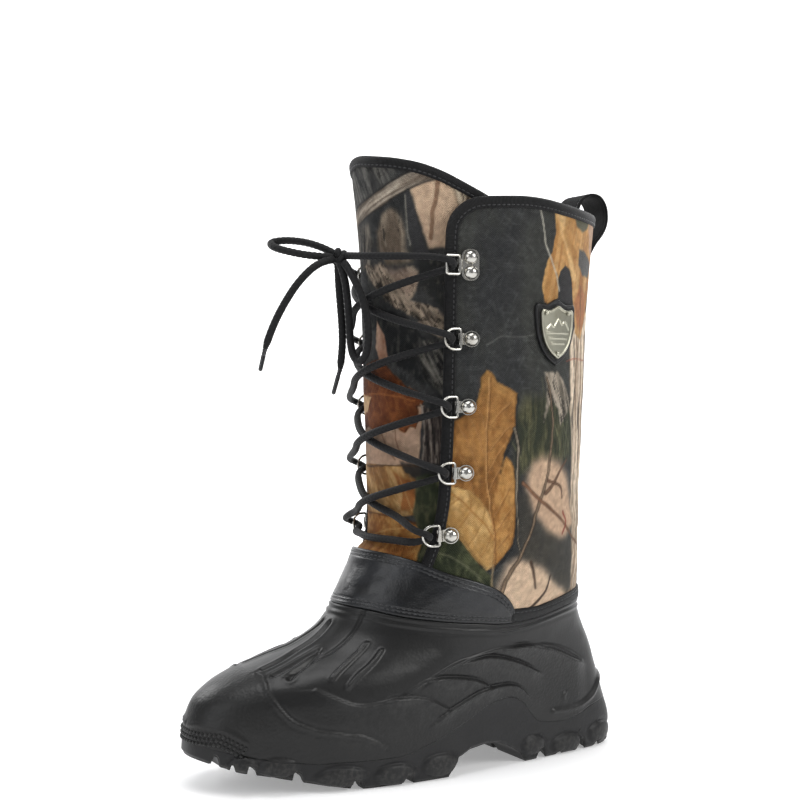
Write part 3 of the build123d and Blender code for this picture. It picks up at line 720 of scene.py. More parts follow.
def mat_patch():
    m = Nodes("moulded_patch", Specular_IOR_Level=0.35)
    co = m.coord()
    n = m.noise(co, 260, 4)
    cell = m.voronoi(co, 1300, "SMOOTH_F1")
    m.colour(m.mix(m.ramp(n, 0.3, 0.8), lin(18, 18, 19), lin(32, 32, 33)))
    m.rough(m.math("ADD", m.math("MULTIPLY", n, 0.2), 0.34))
    m.normal(m.bump(cell, 0.00025, 0.5))
    return m.mat


M_SHELL, M_SOLE, M_LEATHER, M_CAMO = mat_shell(), mat_sole(), mat_leather(), mat_camo()
M_BIND, M_THREAD, M_LACE, M_NICKEL = mat_binding(), mat_thread(), mat_lace(), mat_metal()
M_BADGE = mat_metal("antique_badge", (178, 176, 160), 0.30, True)
M_DARKFILL = mat_metal("badge_recess", (58, 56, 50), 0.42)
M_FLEECE = mat_fleece()
M_WAD = mat_felt("needled_wadding", (176, 174, 166), (214, 212, 204), 500)
M_FELT = mat_felt("felt_insole", (70, 70, 72), (112, 112, 112))
M_FOOTLIN = mat_felt("foot_lining", (40, 40, 42), (74, 73, 72))
M_BACK = mat_felt("lining_cloth", (34, 34, 36), (58, 58, 60), 1100)
M_TIP, M_PATCH = mat_plastic(), mat_patch()
M_STRAP = mat_leather("smooth_strap", (6, 6, 7), (12, 12, 13), 0.58, 0.2, 0.0)


# ============================================================= lower shell
def sym_thetas(z, step):
    t = np.linspace(0, PI, 3001)
    P = Q(z, t)
    l = np.concatenate([[0], np.cumsum(np.linalg.norm(np.diff(P, axis=0), axis=1))])
    m = int(round(l[-1] / step))
    a = np.interp(np.linspace(0, l[-1], m + 1), l, t)
    return np.concatenate([a, -a[-2:0:-1]])


def near(P, L, reach=7.0):
    """Distance to a line, exact only within reach of it."""
    d = np.full(len(P), 99.0)
    lo, hi = L.min(0) - reach, L.max(0) + reach
    m = ((P > lo) & (P < hi)).all(1)
    if m.any():
        d[m] = dist_line(P[m], L)
    return d


def on_side(pts, n=8):
    """A side-view line laid on both sides of the form."""
    c = catmull(pts, n)
    th = TH(c[:, 0], c[:, 1])
    return [Q(c[:, 1], th), Q(c[:, 1], -th)]


def on_top(pts, n=8):
    """A line seen from above, laid on the vamp, both sides."""
    c = catmull(pts, n)
    lo, hi = np.full(len(c), 48.0), np.full(len(c), 112.0)
    for _ in range(40):
        m = (lo + hi) / 2
        x = Q(m, TH(c[:, 1], m))[:, 0]
        wide = x > c[:, 0]
        lo, hi = np.where(wide, m, lo), np.where(wide, hi, m)
    z = (lo + hi) / 2
    return [Q(z, TH(c[:, 1], z)), Q(z, -TH(c[:, 1], z))]


TOE_CAP = [(-111.8, 67.4), (-110.1, 65.8), (-110.9, 59.6), (-108.3, 53.3), (-100.8, 43.8), (-92.6, 39.2), (-84.1, 36.1),
           (-75.4, 34.7), (-66.5, 32.7), (-59.3, 31.7), (-51.9, 28.4), (-45.2, 24.2)]
SWOOSH = [(-85.2, 59.9), (-74.8, 54.5), (-61.7, 49.8), (-48, 50.1), (-35, 52.5), (-23.8, 57.6), (-8.3, 64.1), (4.2, 69.2),
          (18.2, 72.2), (30.2, 74.4), (42.8, 75.5), (56.4, 75.4), (80.3, 72.3), (96.8, 66.8), (112.2, 58.3)]
PETALS = [
    ([(-22.8, 54.6), (-12.8, 60.3), (.8, 60.3), (19, 56.8), (37.2, 48)], 2.0, 5.5),
    ([(4.3, 66.2), (13.6, 69.2), (30.6, 70.3), (51.2, 64.7), (76.1, 53.2)], 2.0, 5.5),
    ([(32.8, 73.1), (56.6, 74.3), (80.8, 69.1), (103.6, 59.6), (117.5, 54.4)], 1.8, 5.0),
    ([(-47.9, 49.4), (-34.6, 51.5), (-16.3, 49.2), (-.3, 40.7), (3.2, 36.4)], 1.6, 5.0),
    ([(-20, 30), (-6, 38), (8, 44), (24, 49.5), (40, 51), (52, 49), (62, 42), (68, 33)], 1.6, 3.5),
    ([(96, 61), (104, 52), (101, 44), (92, 38)], 1.0, 4.0),
]
GROOVES = [[(4.4, -59.5), (6.7, -70.7), (7.2, -81.8), (10.9, -94.2), (12.2, -106.4)],
           [(18.4, -73.1), (19.1, -82.3), (21, -92.9), (22.5, -104.1)],
           [(21.4, -73.5), (24.6, -81.9), (27.3, -90.8), (29.9, -96.8)]]
PANEL = [(23, -45), (24.4, -60), (25.6, -76), (26.6, -90), (27.4, -99)]
BARS = [[(33.1, -48.4), (36.2, -60), (40.4, -74.7)], [(39.5, -41.6), (42.3, -50.1), (45.1, -66.3)]]
HEEL_S = [(136, 49), (131, 43), (119.4, 33.4), (102.7, 28.8), (84.6, 29.1)]
BUMPER = [(-148.4, 38.6), (-145.1, 40.2), (-137.1, 38.6), (-130.8, 35.7), (-124, 31)]
LUGS = [(-126.5, 17, 8.0, 6.0), (-107, 16.4, 11.0, 5.5), (-71, 8.6, 15.5, 6.0), (-37, 6.9, 13.5, 6.2), (-6.0, 9.0, 13.0, 6.6),
        (68, 10.0, 9.5, 6.2), (97.5, 6.8, 13.0, 6.2), (129, 9.3, 11.5, 6.8)]
NOTCH = [(-139.5, 2.2), (-117.5, 2.4), (-89.5, 2.8), (-54, 2.8), (-21.5, 2.8), (81, 2.8), (114, 2.8)]


def saw(y, z, pts, h, fall):
    """Ridge with a crisp upper edge that fades downwards."""
    p = np.asarray(pts, float)
    c = catmull(p, 8)
    if c[0, 0] > c[-1, 0]:
        c = c[::-1]
    zl = np.interp(y, c[:, 0], c[:, 1])
    span = c[-1, 0] - c[0, 0]
    t = (y - c[0, 0]) / span
    w = sstep(0.0, 0.22, t) * (1 - sstep(0.8, 1.0, t))
    sd = zl - z
    up = np.exp(-(np.minimum(sd, 0) / 0.7) ** 2)
    dn = np.exp(-np.maximum(sd, 0) / fall)
    cut = np.exp(-((sd + 1.6) / 0.9) ** 2) * 0.5
    return h * w * (up * dn - cut)


def relief(P):
    """Moulded relief of the shell and sole wall, mm outwards, and the grain mask."""
    shp = P.shape[:-1]
    P = P.reshape(-1, 3)
    y, z = P[:, 1], P[:, 2]
    d = np.zeros(len(P))
    side_w = sstep(14, 24, np.abs(P[:, 0]))
    c = catmull(SWOOSH, 8)
    zs = np.interp(y, c[:, 0], c[:, 1])
    yw = sstep(-106, -64, y) * (1 - sstep(104, 118, y))
    below = sstep(-0.9, 0.9, zs - z)
    d += 1.1 * below * yw * side_w * (1 - sstep(20, 44, zs - z) * 0.9)
    for pts, h, fall in PETALS:
        d += saw(y, z, pts, h, fall) * side_w
    for L in on_side(SWOOSH):
        q = near(P, L)
        d += 0.7 * np.exp(-(q / 0.9) ** 2)
    cap = inside(y, z, TOE_CAP[::1] + [(-45, -20), (-200, -20), (-200, 90), (-111.8, 90)])
    for L in on_side(TOE_CAP):
        q = near(P, L, 9)
        sgn = np.where(cap, 1, -1) * np.minimum(q, 3)
        d += 0.35 * sstep(-0.8, 0.8, sgn) * np.exp(-(q / 6) ** 2) + 0.85 * np.exp(-(q / 0.95) ** 2) - 0.4 * np.exp(-((q - 2.2) / 0.9) ** 2)
    for g in GROOVES:
        for L in on_top(g):
            q = near(P, L)
            d += -1.7 * np.exp(-(q / 1.35) ** 2) + 0.35 * np.exp(-((q - 3.2) / 1.3) ** 2)
    for L in on_top(PANEL):
        q = near(P, L)
        d += -0.9 * np.exp(-(q / 1.0) ** 2)
    for g in BARS:
        for L in on_top(g):
            q = near(P, L)
            d += 1.9 * np.exp(-(q / 1.3) ** 2)
    for L in on_side(HEEL_S):
        q = near(P, L)
        d += 1.5 * np.exp(-(q / 1.6) ** 2)
    for L in on_side(BUMPER):
        q = near(P, L)
        d += 0.9 * np.exp(-(q / 1.2) ** 2)
    for ly, lz, ry, rz in LUGS:
        r2 = ((y - ly) / ry) ** 2 + ((z - lz) / rz) ** 2
        d += 2.3 * np.sqrt(np.clip(1 - r2, 0, 1)) * (0.6 + 0.4 * side_w) - 0.5 * np.exp(-((np.sqrt(r2) - 1.15) / 0.12) ** 2)
    panel = below * yw * (1 - sstep(36, 44, zs - z))
    grain = np.clip(np.where(cap, 0.8, panel), 0.12, 1.0)
    return d.reshape(shp), grain.reshape(shp)


def cap_between(ring, inner=46, zf=None):
    """Strips across a closed symmetric ring of points; first and last share the ring's ends."""
    n = len(ring)
    k = np.arange(n // 2 + 1)
    a, b = ring[k], ring[(n - k) % n]
    t = np.linspace(0, 1, inner + 2)
    G = a[:, None, :] * (1 - t[None, :, None]) + b[:, None, :] * t[None, :, None]
    if zf is not None:
        G[:, 1:-1, 2] = zf(G[:, 1:-1])
    return G


def weld(ob, dist=2e-6):
    import bmesh
    bm = bmesh.new()
    bm.from_mesh(ob.data)
    bmesh.ops.remove_doubles(bm, verts=bm.verts, dist=dist)
    bmesh.ops.dissolve_degenerate(bm, edges=bm.edges, dist=1e-7)
    bmesh.ops.recalc_face_normals(bm, faces=bm.faces)
    bm.to_mesh(ob.data)
    bm.free()
    ob.data.update()


def join_grids(grids):
    """Vertices, faces and per-vertex values of several grids put together."""
    V, F, A = [], [], []
    base = 0
    for G, cu, cv, at in grids:
        nu, nv = G.shape[:2]
        V.append(G.reshape(-1, 3))
        F.append(grid_faces(nu, nv, cu, cv, base))
        A.append(np.broadcast_to(at, (nu, nv) + np.shape(at)[2:]).reshape(nu * nv, -1) if np.ndim(at) else np.full((nu * nv, 1), at))
        base += nu * nv
    return np.vstack(V), np.vstack(F), A


WALL = table([20, 40, 60, 80, 95, 103, 120], [11, 9, 6.5, 5.5, 4.8, 4.5, 4.5], 15, 120)
RISE = table([20, 40, 50, 80, 95, 103, 120], [0, 2, 4, 4, 2, 0, 0], 15, 120)

TH_S = sym_thetas(45.0, 1.1)
z_rand = on_line(TH_S, f_rand, z0=30.0)
z_seam = on_line(TH_S, f_seam, z0=98.0)


def rows_between(th, za, zb, nv):
    fine = np.linspace(0, 1, 240)
    ZF = za[:, None] + (zb - za)[:, None] * fine
    PF = Q(ZF, th[:, None])
    l = np.concatenate([np.zeros((len(th), 1)), np.cumsum(np.linalg.norm(np.diff(PF, axis=1), axis=2), axis=1)], 1)
    t = np.linspace(0, 1, nv)
    return np.stack([np.interp(t * l[i, -1], l[i], ZF[i]) for i in range(len(th))]), l[:, -1:]


def lower_shell():
    NV = 104
    ZZ, tot = rows_between(TH_S, z_rand, z_seam, NV)
    P, N = Q(ZZ, TH_S[:, None]), NRM(ZZ, TH_S[:, None])
    d, grain = relief(P)
    top = tot * (1 - np.linspace(0, 1, NV))
    bead = 0.95 * np.exp(-((top - 1.5) / 1.15) ** 2) + 0.65 * np.exp(-((top - 5.2) / 1.0) ** 2) - 0.5 * np.exp(-((top - 3.4) / 0.7) ** 2)
    d = d + bead - 0.3 * np.exp(-((top - 7.6) / 1.2) ** 2)
    lump = (fbm(P[..., 1] / 26, P[..., 2] / 22 + P[..., 0] / 40, 5, 3) - 0.5) * 0.5
    d = d + lump
    out = P + N * d[..., None]
    out[:, 0] = P[:, 0] + N[:, 0] * np.minimum(d[:, 0:1], 2.0)
    wear = np.clip(d - 0.9, 0, 1) * 0.5
    # mouth ledge, inner wall and floor
    lip = np.stack([Q(z_seam, TH_S, o) for o in (0.6, 4.6)], 1)
    zi = z_seam[:, None] + (f_bed(P[:, 0, 1])[:, None] + 3 - z_seam[:, None]) * np.linspace(0, 1, 14)[None]
    inner = Q(zi, TH_S[:, None], WALL(zi), zf=zi)
    inner[..., 2] += RISE(zi) * np.linspace(0, 1, 14)[None] * 0.5
    floor = cap_between(inner[:, -1], 30, lambda G: f_bed(G[..., 1]))
    under = Q(z_rand, TH_S, 3.0)
    under2 = under.copy()
    under2[:, 2] = np.interp(under[:, 1], [-160, -100, -60, 0, 30, 75, 160], [28, 17.5, 14.5, 17.5, 21, 14.5, 14.5])
    base = np.stack([out[:, 0], under, under2], 1)
    bottom = cap_between(under2, 24)
    V, F, _ = join_grids([(out, True, False, 0), (np.concatenate([out[:, -1:], lip], 1), True, False, 0),
                          (np.concatenate([lip[:, -1:], inner], 1), True, False, 0), (floor, False, False, 0),
                          (base, True, False, 0), (bottom, False, False, 0)])
    g, w = np.full(len(V), 0.1), np.zeros(len(V))
    g[:grain.size], w[:wear.size] = grain.ravel(), wear.ravel()
    ob = make("lower_shell_moulding", V, F, M_SHELL, attrs={"grain": g, "wear": w}, orient=False)
    weld(ob)
    return finish_piece(ob, "boot", "shell_eva", "lower_shell"), out, N


shell_ob, SHELL_OUT, SHELL_N = lower_shell()


# ================================================================ outsole
def tread(x, y):
    """Height of the sole's underside over its lowest level."""
    zb = f_bottom(y)
    arch = inside(y, np.full_like(y, 5.0), [(2, -5), (62, -5), (62, 8), (2, 8)])
    h = np.zeros_like(y)
    for yn, w in NOTCH:
        yc = yn + 2.5 * np.sin(x / 9.0) * np.sign(yn + 200) - np.abs(x) * 0.10
        h = np.maximum(h, 5.2 * (1 - sstep(w * 0.7, w * 1.25, np.abs(y - yc))))
    for yn in (-128, -103, -72, -38, -5, 97, 129):
        yc = yn + 3.0 * np.sin(x / 7.0) - np.abs(x) * 0.06
        inner = 1 - sstep(30, 34, np.abs(x))
        h = np.maximum(h, 3.4 * (1 - sstep(0.9, 1.9, np.abs(y - yc))) * inner)
    mid = (1 - sstep(1.6, 2.8, np.abs(x + 2.0 * np.sin(y / 11.0)))) * sstep(-135, -120, y) * (1 - sstep(118, 130, y))
    h = np.maximum(h, 4.4 * mid)
    arch_h = np.interp(y, [1, 3.5, 8, 16, 28, 40, 50, 58, 62.5], [0, 5, 11, 15, 16.6, 15.5, 11, 6, 0])
    return zb + np.maximum(h, arch_h)


def outsole():
    NV = 44
    zb = np.full(len(TH_S), 5.0)
    for _ in range(30):
        p = Q(zb, TH_S)
        zb = 0.5 * zb + 0.5 * tread(p[:, 0], p[:, 1])
    zb = np.minimum(zb, z_rand - 3)
    ZZ, tot = rows_between(TH_S, zb, z_rand, NV)
    P, N = Q(ZZ, TH_S[:, None]), NRM(ZZ, TH_S[:, None])
    d, grain = relief(P)
    t = np.linspace(0, 1, NV)[None] * tot
    d = d - 1.3 * (1 - sstep(0, 2.2, t))          # rounded lower edge
    lim = np.minimum(d, 2.6)
    out = P + N * lim[..., None]
    out[..., 2] = np.maximum(out[..., 2], np.minimum(zb, 99)[:, None] * 1.0)
    out[:, -1] = SHELL_OUT[:, 0]
    wear = np.clip(lim - 0.8, 0, 1) * 0.6 + (1 - sstep(0, 3, t)) * 0.5
    under = cap_between(out[:, 0], 84, lambda G: tread(G[..., 0], G[..., 1]))
    rim = np.stack([out[:, -1], Q(z_rand, TH_S, 3.0)], 1)
    down = Q(z_rand, TH_S, 3.0)
    down[:, 2] = np.interp(down[:, 1], [-160, -100, -60, 0, 30, 75, 160], [27.6, 17.1, 14.1, 17.1, 20.6, 14.1, 14.1])
    inn = np.stack([rim[:, 1], down], 1)
    lid = cap_between(down, 24)
    V, F, _ = join_grids([(out, True, False, 0), (under, False, False, 0), (rim, True, False, 0), (inn, True, False, 0), (lid, False, False, 0)])
    w = np.full(len(V), 0.25)
    w[:wear.size] = wear.ravel()
    ob = make("outsole_treads", V, F, M_SOLE, attrs={"grain": np.full(len(V), 0.3), "wear": w}, orient=False)
    weld(ob)
    return finish_piece(ob, "boot", "sole_rubber", "outsole")


outsole_ob = outsole()


def toe_studs():
    """Three rows of small studs round the toe bumper."""
    Ps, Ns, Ts = [], [], []
    for row, dz in enumerate((-3.4, -6.2, -9.0)):
        th = np.radians(np.arange(-34, 34.01, 0.25))
        zt = np.interp(Q(33, th)[:, 1], [-150, -137, -124], [38.6, 38.4, 31]) + dz
        P = resample(Q(zt, th), 2.9)
        if row == 1:
            P = (P[1:] + P[:-1]) / 2
        tt = np.array([math.atan2(p[0], -p[1] * 0.36) for p in P])
        best = TH(P[:, 1], P[:, 2]) * np.sign(P[:, 0] + 3.0 * np.clip((95 - P[:, 2]) / 50, 0, 1) + 1e-9)
        Ps.append(P)
        Ns.append(NRM(P[:, 2], best))
        Ts.append(np.gradient(P, axis=0))
    P, N, T = np.vstack(Ps), np.vstack(Ns), np.vstack(Ts)
    V, F = capsules(P + N * 0.35, T, N, 2.0, 0.98, 0.95, 6, 8)
    ob = make("toe_bumper_studs", V, F, M_SHELL, attrs={"grain": np.zeros(len(V)), "wear": np.full(len(V), 0.5)}, orient=False)
    return finish_piece(ob, "boot", "shell_eva")


toe_studs()


# ============================================ leather overlay and hem band
def band(name, th, zlo, zhi, mat, body, slot, nodes, rows=46, proud=1.3, seat=0.5, puff=0.35, lump=0.35, dents=(2.6,), uv=True, closed=False, back=0.6):
    """A sewn-on strip with rounded edges, lying on the form between two heights."""
    ZF, tot = rows_between(th, zlo, zhi, 200)
    l = np.concatenate([np.zeros((len(th), 1)), np.cumsum(np.linalg.norm(np.diff(Q(ZF, th[:, None]), axis=1), axis=2), axis=1)], 1)
    L = l[:, -1]
    e = np.minimum(1.0, L / 4)
    t = np.linspace(0, 1, rows)
    pos = e[:, None] + (L - 2 * e)[:, None] * t
    lead = np.stack([0 * L, 0 * L, 0.3 * e], 1)
    tail = np.stack([L - 0.3 * e, L, L], 1)
    A = np.concatenate([lead, pos, tail], 1)
    Z = np.stack([np.interp(A[i], l[i], ZF[i]) for i in range(len(th))])
    o = np.full(A.shape, -proud)
    for k, v in ((0, seat), (1, -proud * 0.35), (2, -proud * 0.8), (-3, -proud * 0.8), (-2, -proud * 0.35), (-1, seat)):
        o[:, k] = v
    P = Q(Z, th[:, None])
    N = NRM(Z, th[:, None])
    mid = np.clip(np.minimum(A, L[:, None] - A) / 5.0, 0, 1)
    bulge = puff * np.sin(mid * PI / 2)
    for dd in dents:
        bulge -= 0.45 * np.exp(-((A - dd) / 0.6) ** 2) + 0.45 * np.exp(-((L[:, None] - A - dd) / 0.6) ** 2)
    w = mid * lump
    bulge += w * 2 * (fbm(ARC(np.clip(th, -PI, PI))[:, None] / 11 + Z / 40, Z / 9, 31, 2) - 0.5)
    bulge[:, :3] = 0
    bulge[:, -3:] = 0
    out = P + N * (bulge - o)[..., None]
    inn = P - N * back
    nu, nv = A.shape
    Fg = grid_faces(nu, nv, cu=closed)
    V, F = shut(out.reshape(-1, 3), inn.reshape(-1, 3), Fg)
    s = ARC(np.clip(th, -PI, PI)) if not closed else np.concatenate([[0], np.cumsum(np.linalg.norm(np.diff(P[:, 0], axis=0), axis=1))])
    fl = np.stack(np.broadcast_arrays(s[:, None], A), -1)
    ob = make(name, V, F, mat, uv=np.vstack([fl.reshape(-1, 2)] * 2))
    finish_piece(ob, body, slot, *nodes)

    def at(a, extra=0.0):
        """Points and normals at distance a from the lower edge (negative: from the upper one)."""
        aa = np.where(a >= 0, a, L + a) if np.ndim(a) else (np.full(len(th), a) if a >= 0 else L + a)
        zz = np.array([np.interp(aa[i], l[i], ZF[i]) for i in range(len(th))])
        n = NRM(zz, th)
        return Q(zz, th) + n * (proud - 0.1 + extra), n
    return ob, at, L


tb = float(TH(45.2, 97.0))
th_o = UNARC(np.arange(ARC(-tb), ARC(tb) + 0.5, 1.0))
zo_lo = on_line(th_o, f_seam, z0=98.0)
zo_hi = np.maximum(on_line(th_o, f_over, z0=125.0), zo_lo + 3.0)
overlay_ob, o_at, o_len = band("leather_vamp_overlay", th_o, zo_lo, zo_hi, M_LEATHER, "boot", "black_leather", ["vamp_overlay"],
                               rows=54, puff=0.4, lump=0.4, dents=(2.8, 4.9))
for k, a in enumerate((2.8, 4.9)):
    p, n = o_at(a)
    stitches("overlay_stitch_low_%d" % (k + 1), p, n, "boot", M_THREAD)
m = o_len > 12
for k, a in enumerate((-2.8, -4.9)):
    p, n = o_at(a)
    stitches("overlay_stitch_top_%d" % (k + 1), p[m], n[m], "boot", M_THREAD)

th_h = np.concatenate([np.linspace(tb - 0.03, PI, 130), np.linspace(-PI, -tb + 0.03, 130)[1:]])
zh_lo = on_line(th_h, f_seam, z0=97.0)
zh_hi = on_line(th_h, f_hem, z0=103.0)


def hem():
    rows = 14
    ZF, tot = rows_between(th_h, zh_lo, zh_hi, 60)
    l = np.concatenate([np.zeros((len(th_h), 1)), np.cumsum(np.linalg.norm(np.diff(Q(ZF, th_h[:, None]), axis=1), axis=2), axis=1)], 1)
    L = l[:, -1]
    a = np.concatenate([[0, 0, .03], np.linspace(.08, .92, rows), [.97, 1, 1]])
    A = L[:, None] * a
    Z = np.stack([np.interp(A[i], l[i], ZF[i]) for i in range(len(th_h))])
    o = np.full(A.shape[1], 1.25)
    o[[0, -1]], o[[1, -2]], o[[2, -3]] = -0.5, 0.4, 0.95
    P, N = Q(Z, th_h[:, None]), NRM(Z, th_h[:, None])
    x = A / L[:, None]
    o2 = o[None] + 0.35 * np.sin(np.clip(x, 0, 1) * PI) - 0.35 * np.exp(-((L[:, None] - A - 2.0) / 0.6) ** 2) * (x < .99)
    out, inn = P + N * o2[..., None], P - N * 0.6
    V, F = shut(out.reshape(-1, 3), inn.reshape(-1, 3), grid_faces(*A.shape))
    s = np.concatenate([[0], np.cumsum(np.linalg.norm(np.diff(P[:, 0], axis=0), axis=1))])
    fl = np.stack(np.broadcast_arrays(s[:, None], A), -1).reshape(-1, 2)
    ob = make("hem_binding", V, F, M_BIND, uv=np.vstack([fl, fl]))
    finish_piece(ob, "boot", "black_binding", "hem_band")
    zz = np.array([np.interp(L[i] - 2.0, l[i], ZF[i]) for i in range(len(th_h))])
    stitches("hem_stitching", Q(zz, th_h) + NRM(zz, th_h) * 1.2, NRM(zz, th_h), "boot", M_THREAD, slot="black_binding")


hem()


# ============================================================== camouflage
def C(*c):
    return np.array(c, float)


CHAR, DGREEN, OCHRE, LOCHRE = C(45, 47, 53), C(52, 58, 45), C(172, 118, 52), C(203, 156, 88)
ORBRN, TAN, BEIGE, BARK = C(146, 78, 38), C(204, 170, 148), C(186, 168, 146), C(118, 110, 101)
TWIG, BROWN, DARK = C(206, 194, 172), C(58, 40, 32), C(24, 24, 27)


class Cloth:
    """Printed cloth painted in layers on flat coordinates s, z (mm)."""

    def __init__(self, s, z, seed):
        self.s, self.z, self.seed = s.ravel(), z.ravel(), seed
        self.rgb = np.zeros((self.s.size, 3))

    def n(self, a, b, k=0, o=4, ds=0.0):
        return fbm(self.s / a + ds, self.z / b, self.seed + k, o)

    def over(self, mask, col):
        m = np.clip(np.asarray(mask, float), 0, 1)[:, None]
        self.rgb = self.rgb * (1 - m) + np.asarray(col) * m

    def tone(self, c1, c2, f):
        f = np.clip(f, 0, 1)[:, None]
        return c1 * (1 - f) + c2 * f

    def blob(self, pts, warp=6.0, size=22.0, k=0):
        a = (self.n(size, size, 100 + k) - 0.5) * 2 * warp + (self.n(size / 5, size / 5, 130 + k, 2) - 0.5) * warp * 0.5
        b = (self.n(size, size, 200 + k) - 0.5) * 2 * warp + (self.n(size / 5, size / 5, 230 + k, 2) - 0.5) * warp * 0.5
        return inside(self.s + a, self.z + b, pts)

    def bark(self, mask, light, dark, k=0, a=2.4, b=30.0, lean=0.0):
        s = self.s + self.z * lean
        f = fbm(s / a + 2 * self.n(9, 30, k + 5), self.z / b, self.seed + 300 + k, 4)
        g = fbm(s / (a * 3), self.z / (b * 1.6), self.seed + 330 + k, 3)
        col = self.tone(dark, light, sstep(0.28, 0.66, 0.62 * f + 0.38 * g))
        crack = sstep(0.60, 0.68, fbm(s / (a * 0.8), self.z / (b * 0.6), self.seed + 360 + k, 3))
        col = col * (1 - 0.55 * crack[:, None])
        self.over(mask, col)

    def leaf(self, base, tip, width, c1, c2, lobes=4, depth=0.42, k=0, vein=None, curve=0.0, shadow=True):
        """A lobed leaf from its stalk end to its tip."""
        base, tip = np.array(base, float), np.array(tip, float)
        ax = tip - base
        L = np.hypot(*ax)
        ax = ax / L
        ds, dz = self.s - base[0], self.z - base[1]
        u = (ds * ax[0] + dz * ax[1]) / L
        v = -ds * ax[1] + dz * ax[0]
        v = v - curve * np.sin(np.clip(u, 0, 1) * PI)
        u = u + (self.n(14, 14, k + 11, 3) - 0.5) * 0.05
        v0 = v
        v = v + (self.n(10, 10, k + 12, 3) - 0.5) * 3.0
        side = np.where(v > 0, 0.0, 0.5)
        uc = np.clip(u, 0, 1)
        prof = np.sin(PI * uc ** 0.85) ** 0.62 * (1 - 0.15 * uc)
        wave = 1 - depth * (0.5 + 0.5 * np.cos(2 * PI * (lobes * uc ** 0.9 + side)))
        tipn = sstep(0.86, 1.0, uc)
        w = width / 2 * prof * (wave * (1 - tipn) + tipn * 0.5)
        w = w * (1 + 0.16 * (self.n(5, 5, k + 13, 2) - 0.5))
        m = (np.abs(v) < w) & (u > 0) & (u < 1)
        if shadow:
            vs, us = v + 3.2, u + 3.0 / L
            sh = (np.abs(vs) < np.roll(w, 0) + 1.0) & (us > 0) & (us < 1)
            self.over(sh * 0.75, DARK)
        f = 0.55 * self.n(16, 16, k + 21) + 0.45 * self.n(4, 4, k + 22, 3)
        col = self.tone(c1, c2, sstep(0.25, 0.75, f + 0.12 * np.sign(v) + 0.25 * (0.5 - np.abs(v) / (width / 2))))
        vc = vein if vein is not None else c2 * 1.12
        rib = np.abs(v0) < (1.15 * (1 - 0.75 * uc) + 0.25)
        q = (u * L - np.abs(v) * 1.15)
        per = L / (lobes * 2.0)
        ph = np.abs((q / per - np.floor(q / per)) - 0.5) * per
        sv = (ph < 0.62) & (np.abs(v) > 0.8) & (np.abs(v) < w * 0.92)
        col = np.where(rib[:, None], vc, col)
        col = np.where((sv & ~rib)[:, None], vc * 0.55 + col * 0.45, col)
        dk = (ph < 1.5) & ~sv & ~rib
        col = np.where(dk[:, None], col * 0.88, col)
        edge = np.abs(v) > w - 1.3
        col = np.where(edge[:, None], col * 0.74, col)
        self.over(m, col)
        stalk = (np.abs(v0) < 0.8) & (u <= 0.02) & (u > -0.16)
        self.over(stalk, vc * 0.8)

    def twig(self, pts, w=1.1, col=TWIG, dark=BROWN, k=0):
        L = catmull(pts, 8)
        P = np.stack([self.s + (self.n(9, 9, k + 41, 2) - 0.5) * 1.8, self.z + (self.n(9, 9, k + 42, 2) - 0.5) * 1.8], 1)
        d, t = along_line(P, L)
        ww = w * (1.15 - 0.75 * t)
        self.over(sstep(ww + 0.9, ww + 0.1, d) * 0.8, dark)
        self.over(sstep(ww * 0.72 + 0.3, ww * 0.72 - 0.3, d), col * (0.8 + 0.35 * self.n(3, 3, k + 43, 2))[:, None])

    def ground(self):
        f = self.n(26, 46, 1)
        g = fbm(self.s / 3.2, self.z / 26, self.seed + 2, 4)
        self.rgb = self.tone(CHAR * 0.9, DGREEN, sstep(0.35, 0.68, f))
        self.rgb *= (0.72 + 0.6 * g)[:, None]
        streak = sstep(0.66, 0.74, fbm((self.s + self.z * 0.55) / 1.5, (self.z - self.s * 0.3) / 16, self.seed + 3, 3))
        self.over(streak * 0.22, BARK)
        streak = sstep(0.68, 0.75, fbm((self.s - self.z * 0.4) / 1.4, self.z / 13, self.seed + 4, 3))
        self.over(streak * 0.16, C(120, 124, 126))

    def blades(self, region, k, n=16, col=C(74, 84, 52)):
        """Thin leaning grass blades inside a region (s0, s1, z0, z1)."""
        rs = np.random.RandomState(self.seed * 7 + k)
        s0, s1, z0, z1 = region
        for i in range(n):
            a = np.array([rs.uniform(s0, s1), rs.uniform(z0, z0 + (z1 - z0) * 0.4)])
            d = np.array([rs.uniform(-0.45, 0.45), 1.0]) * rs.uniform(0.35, 0.9) * (z1 - z0)
            mid = a + d * 0.5 + np.array([rs.uniform(-4, 4), 0])
            self.line([a, mid, a + d], rs.uniform(0.3, 0.6), np.clip(col * rs.uniform(0.6, 1.3), 0, 255), 0.55)

    def soft(self, pts, feather=1.0, warp=1.0, size=12.0, k=0):
        """A polygon with a feathered, slightly wandering edge."""
        a = (self.n(size, size, 100 + k) - 0.5) * 2 * warp
        b = (self.n(size, size, 200 + k) - 0.5) * 2 * warp
        x, y = self.s + a, self.z + b
        out = np.zeros(len(self.s))
        p = np.array(pts, float)
        near = (x > p[:, 0].min() - feather - 1) & (x < p[:, 0].max() + feather + 1) & (y > p[:, 1].min() - feather - 1) & (y < p[:, 1].max() + feather + 1)
        if near.any():
            P = np.stack([x[near], y[near]], 1)
            d = dist_line(P, np.vstack([p, p[:1]]))
            d = np.where(inside(P[:, 0], P[:, 1], pts), d, -d)
            out[near] = sstep(-feather, feather, d)
        return out

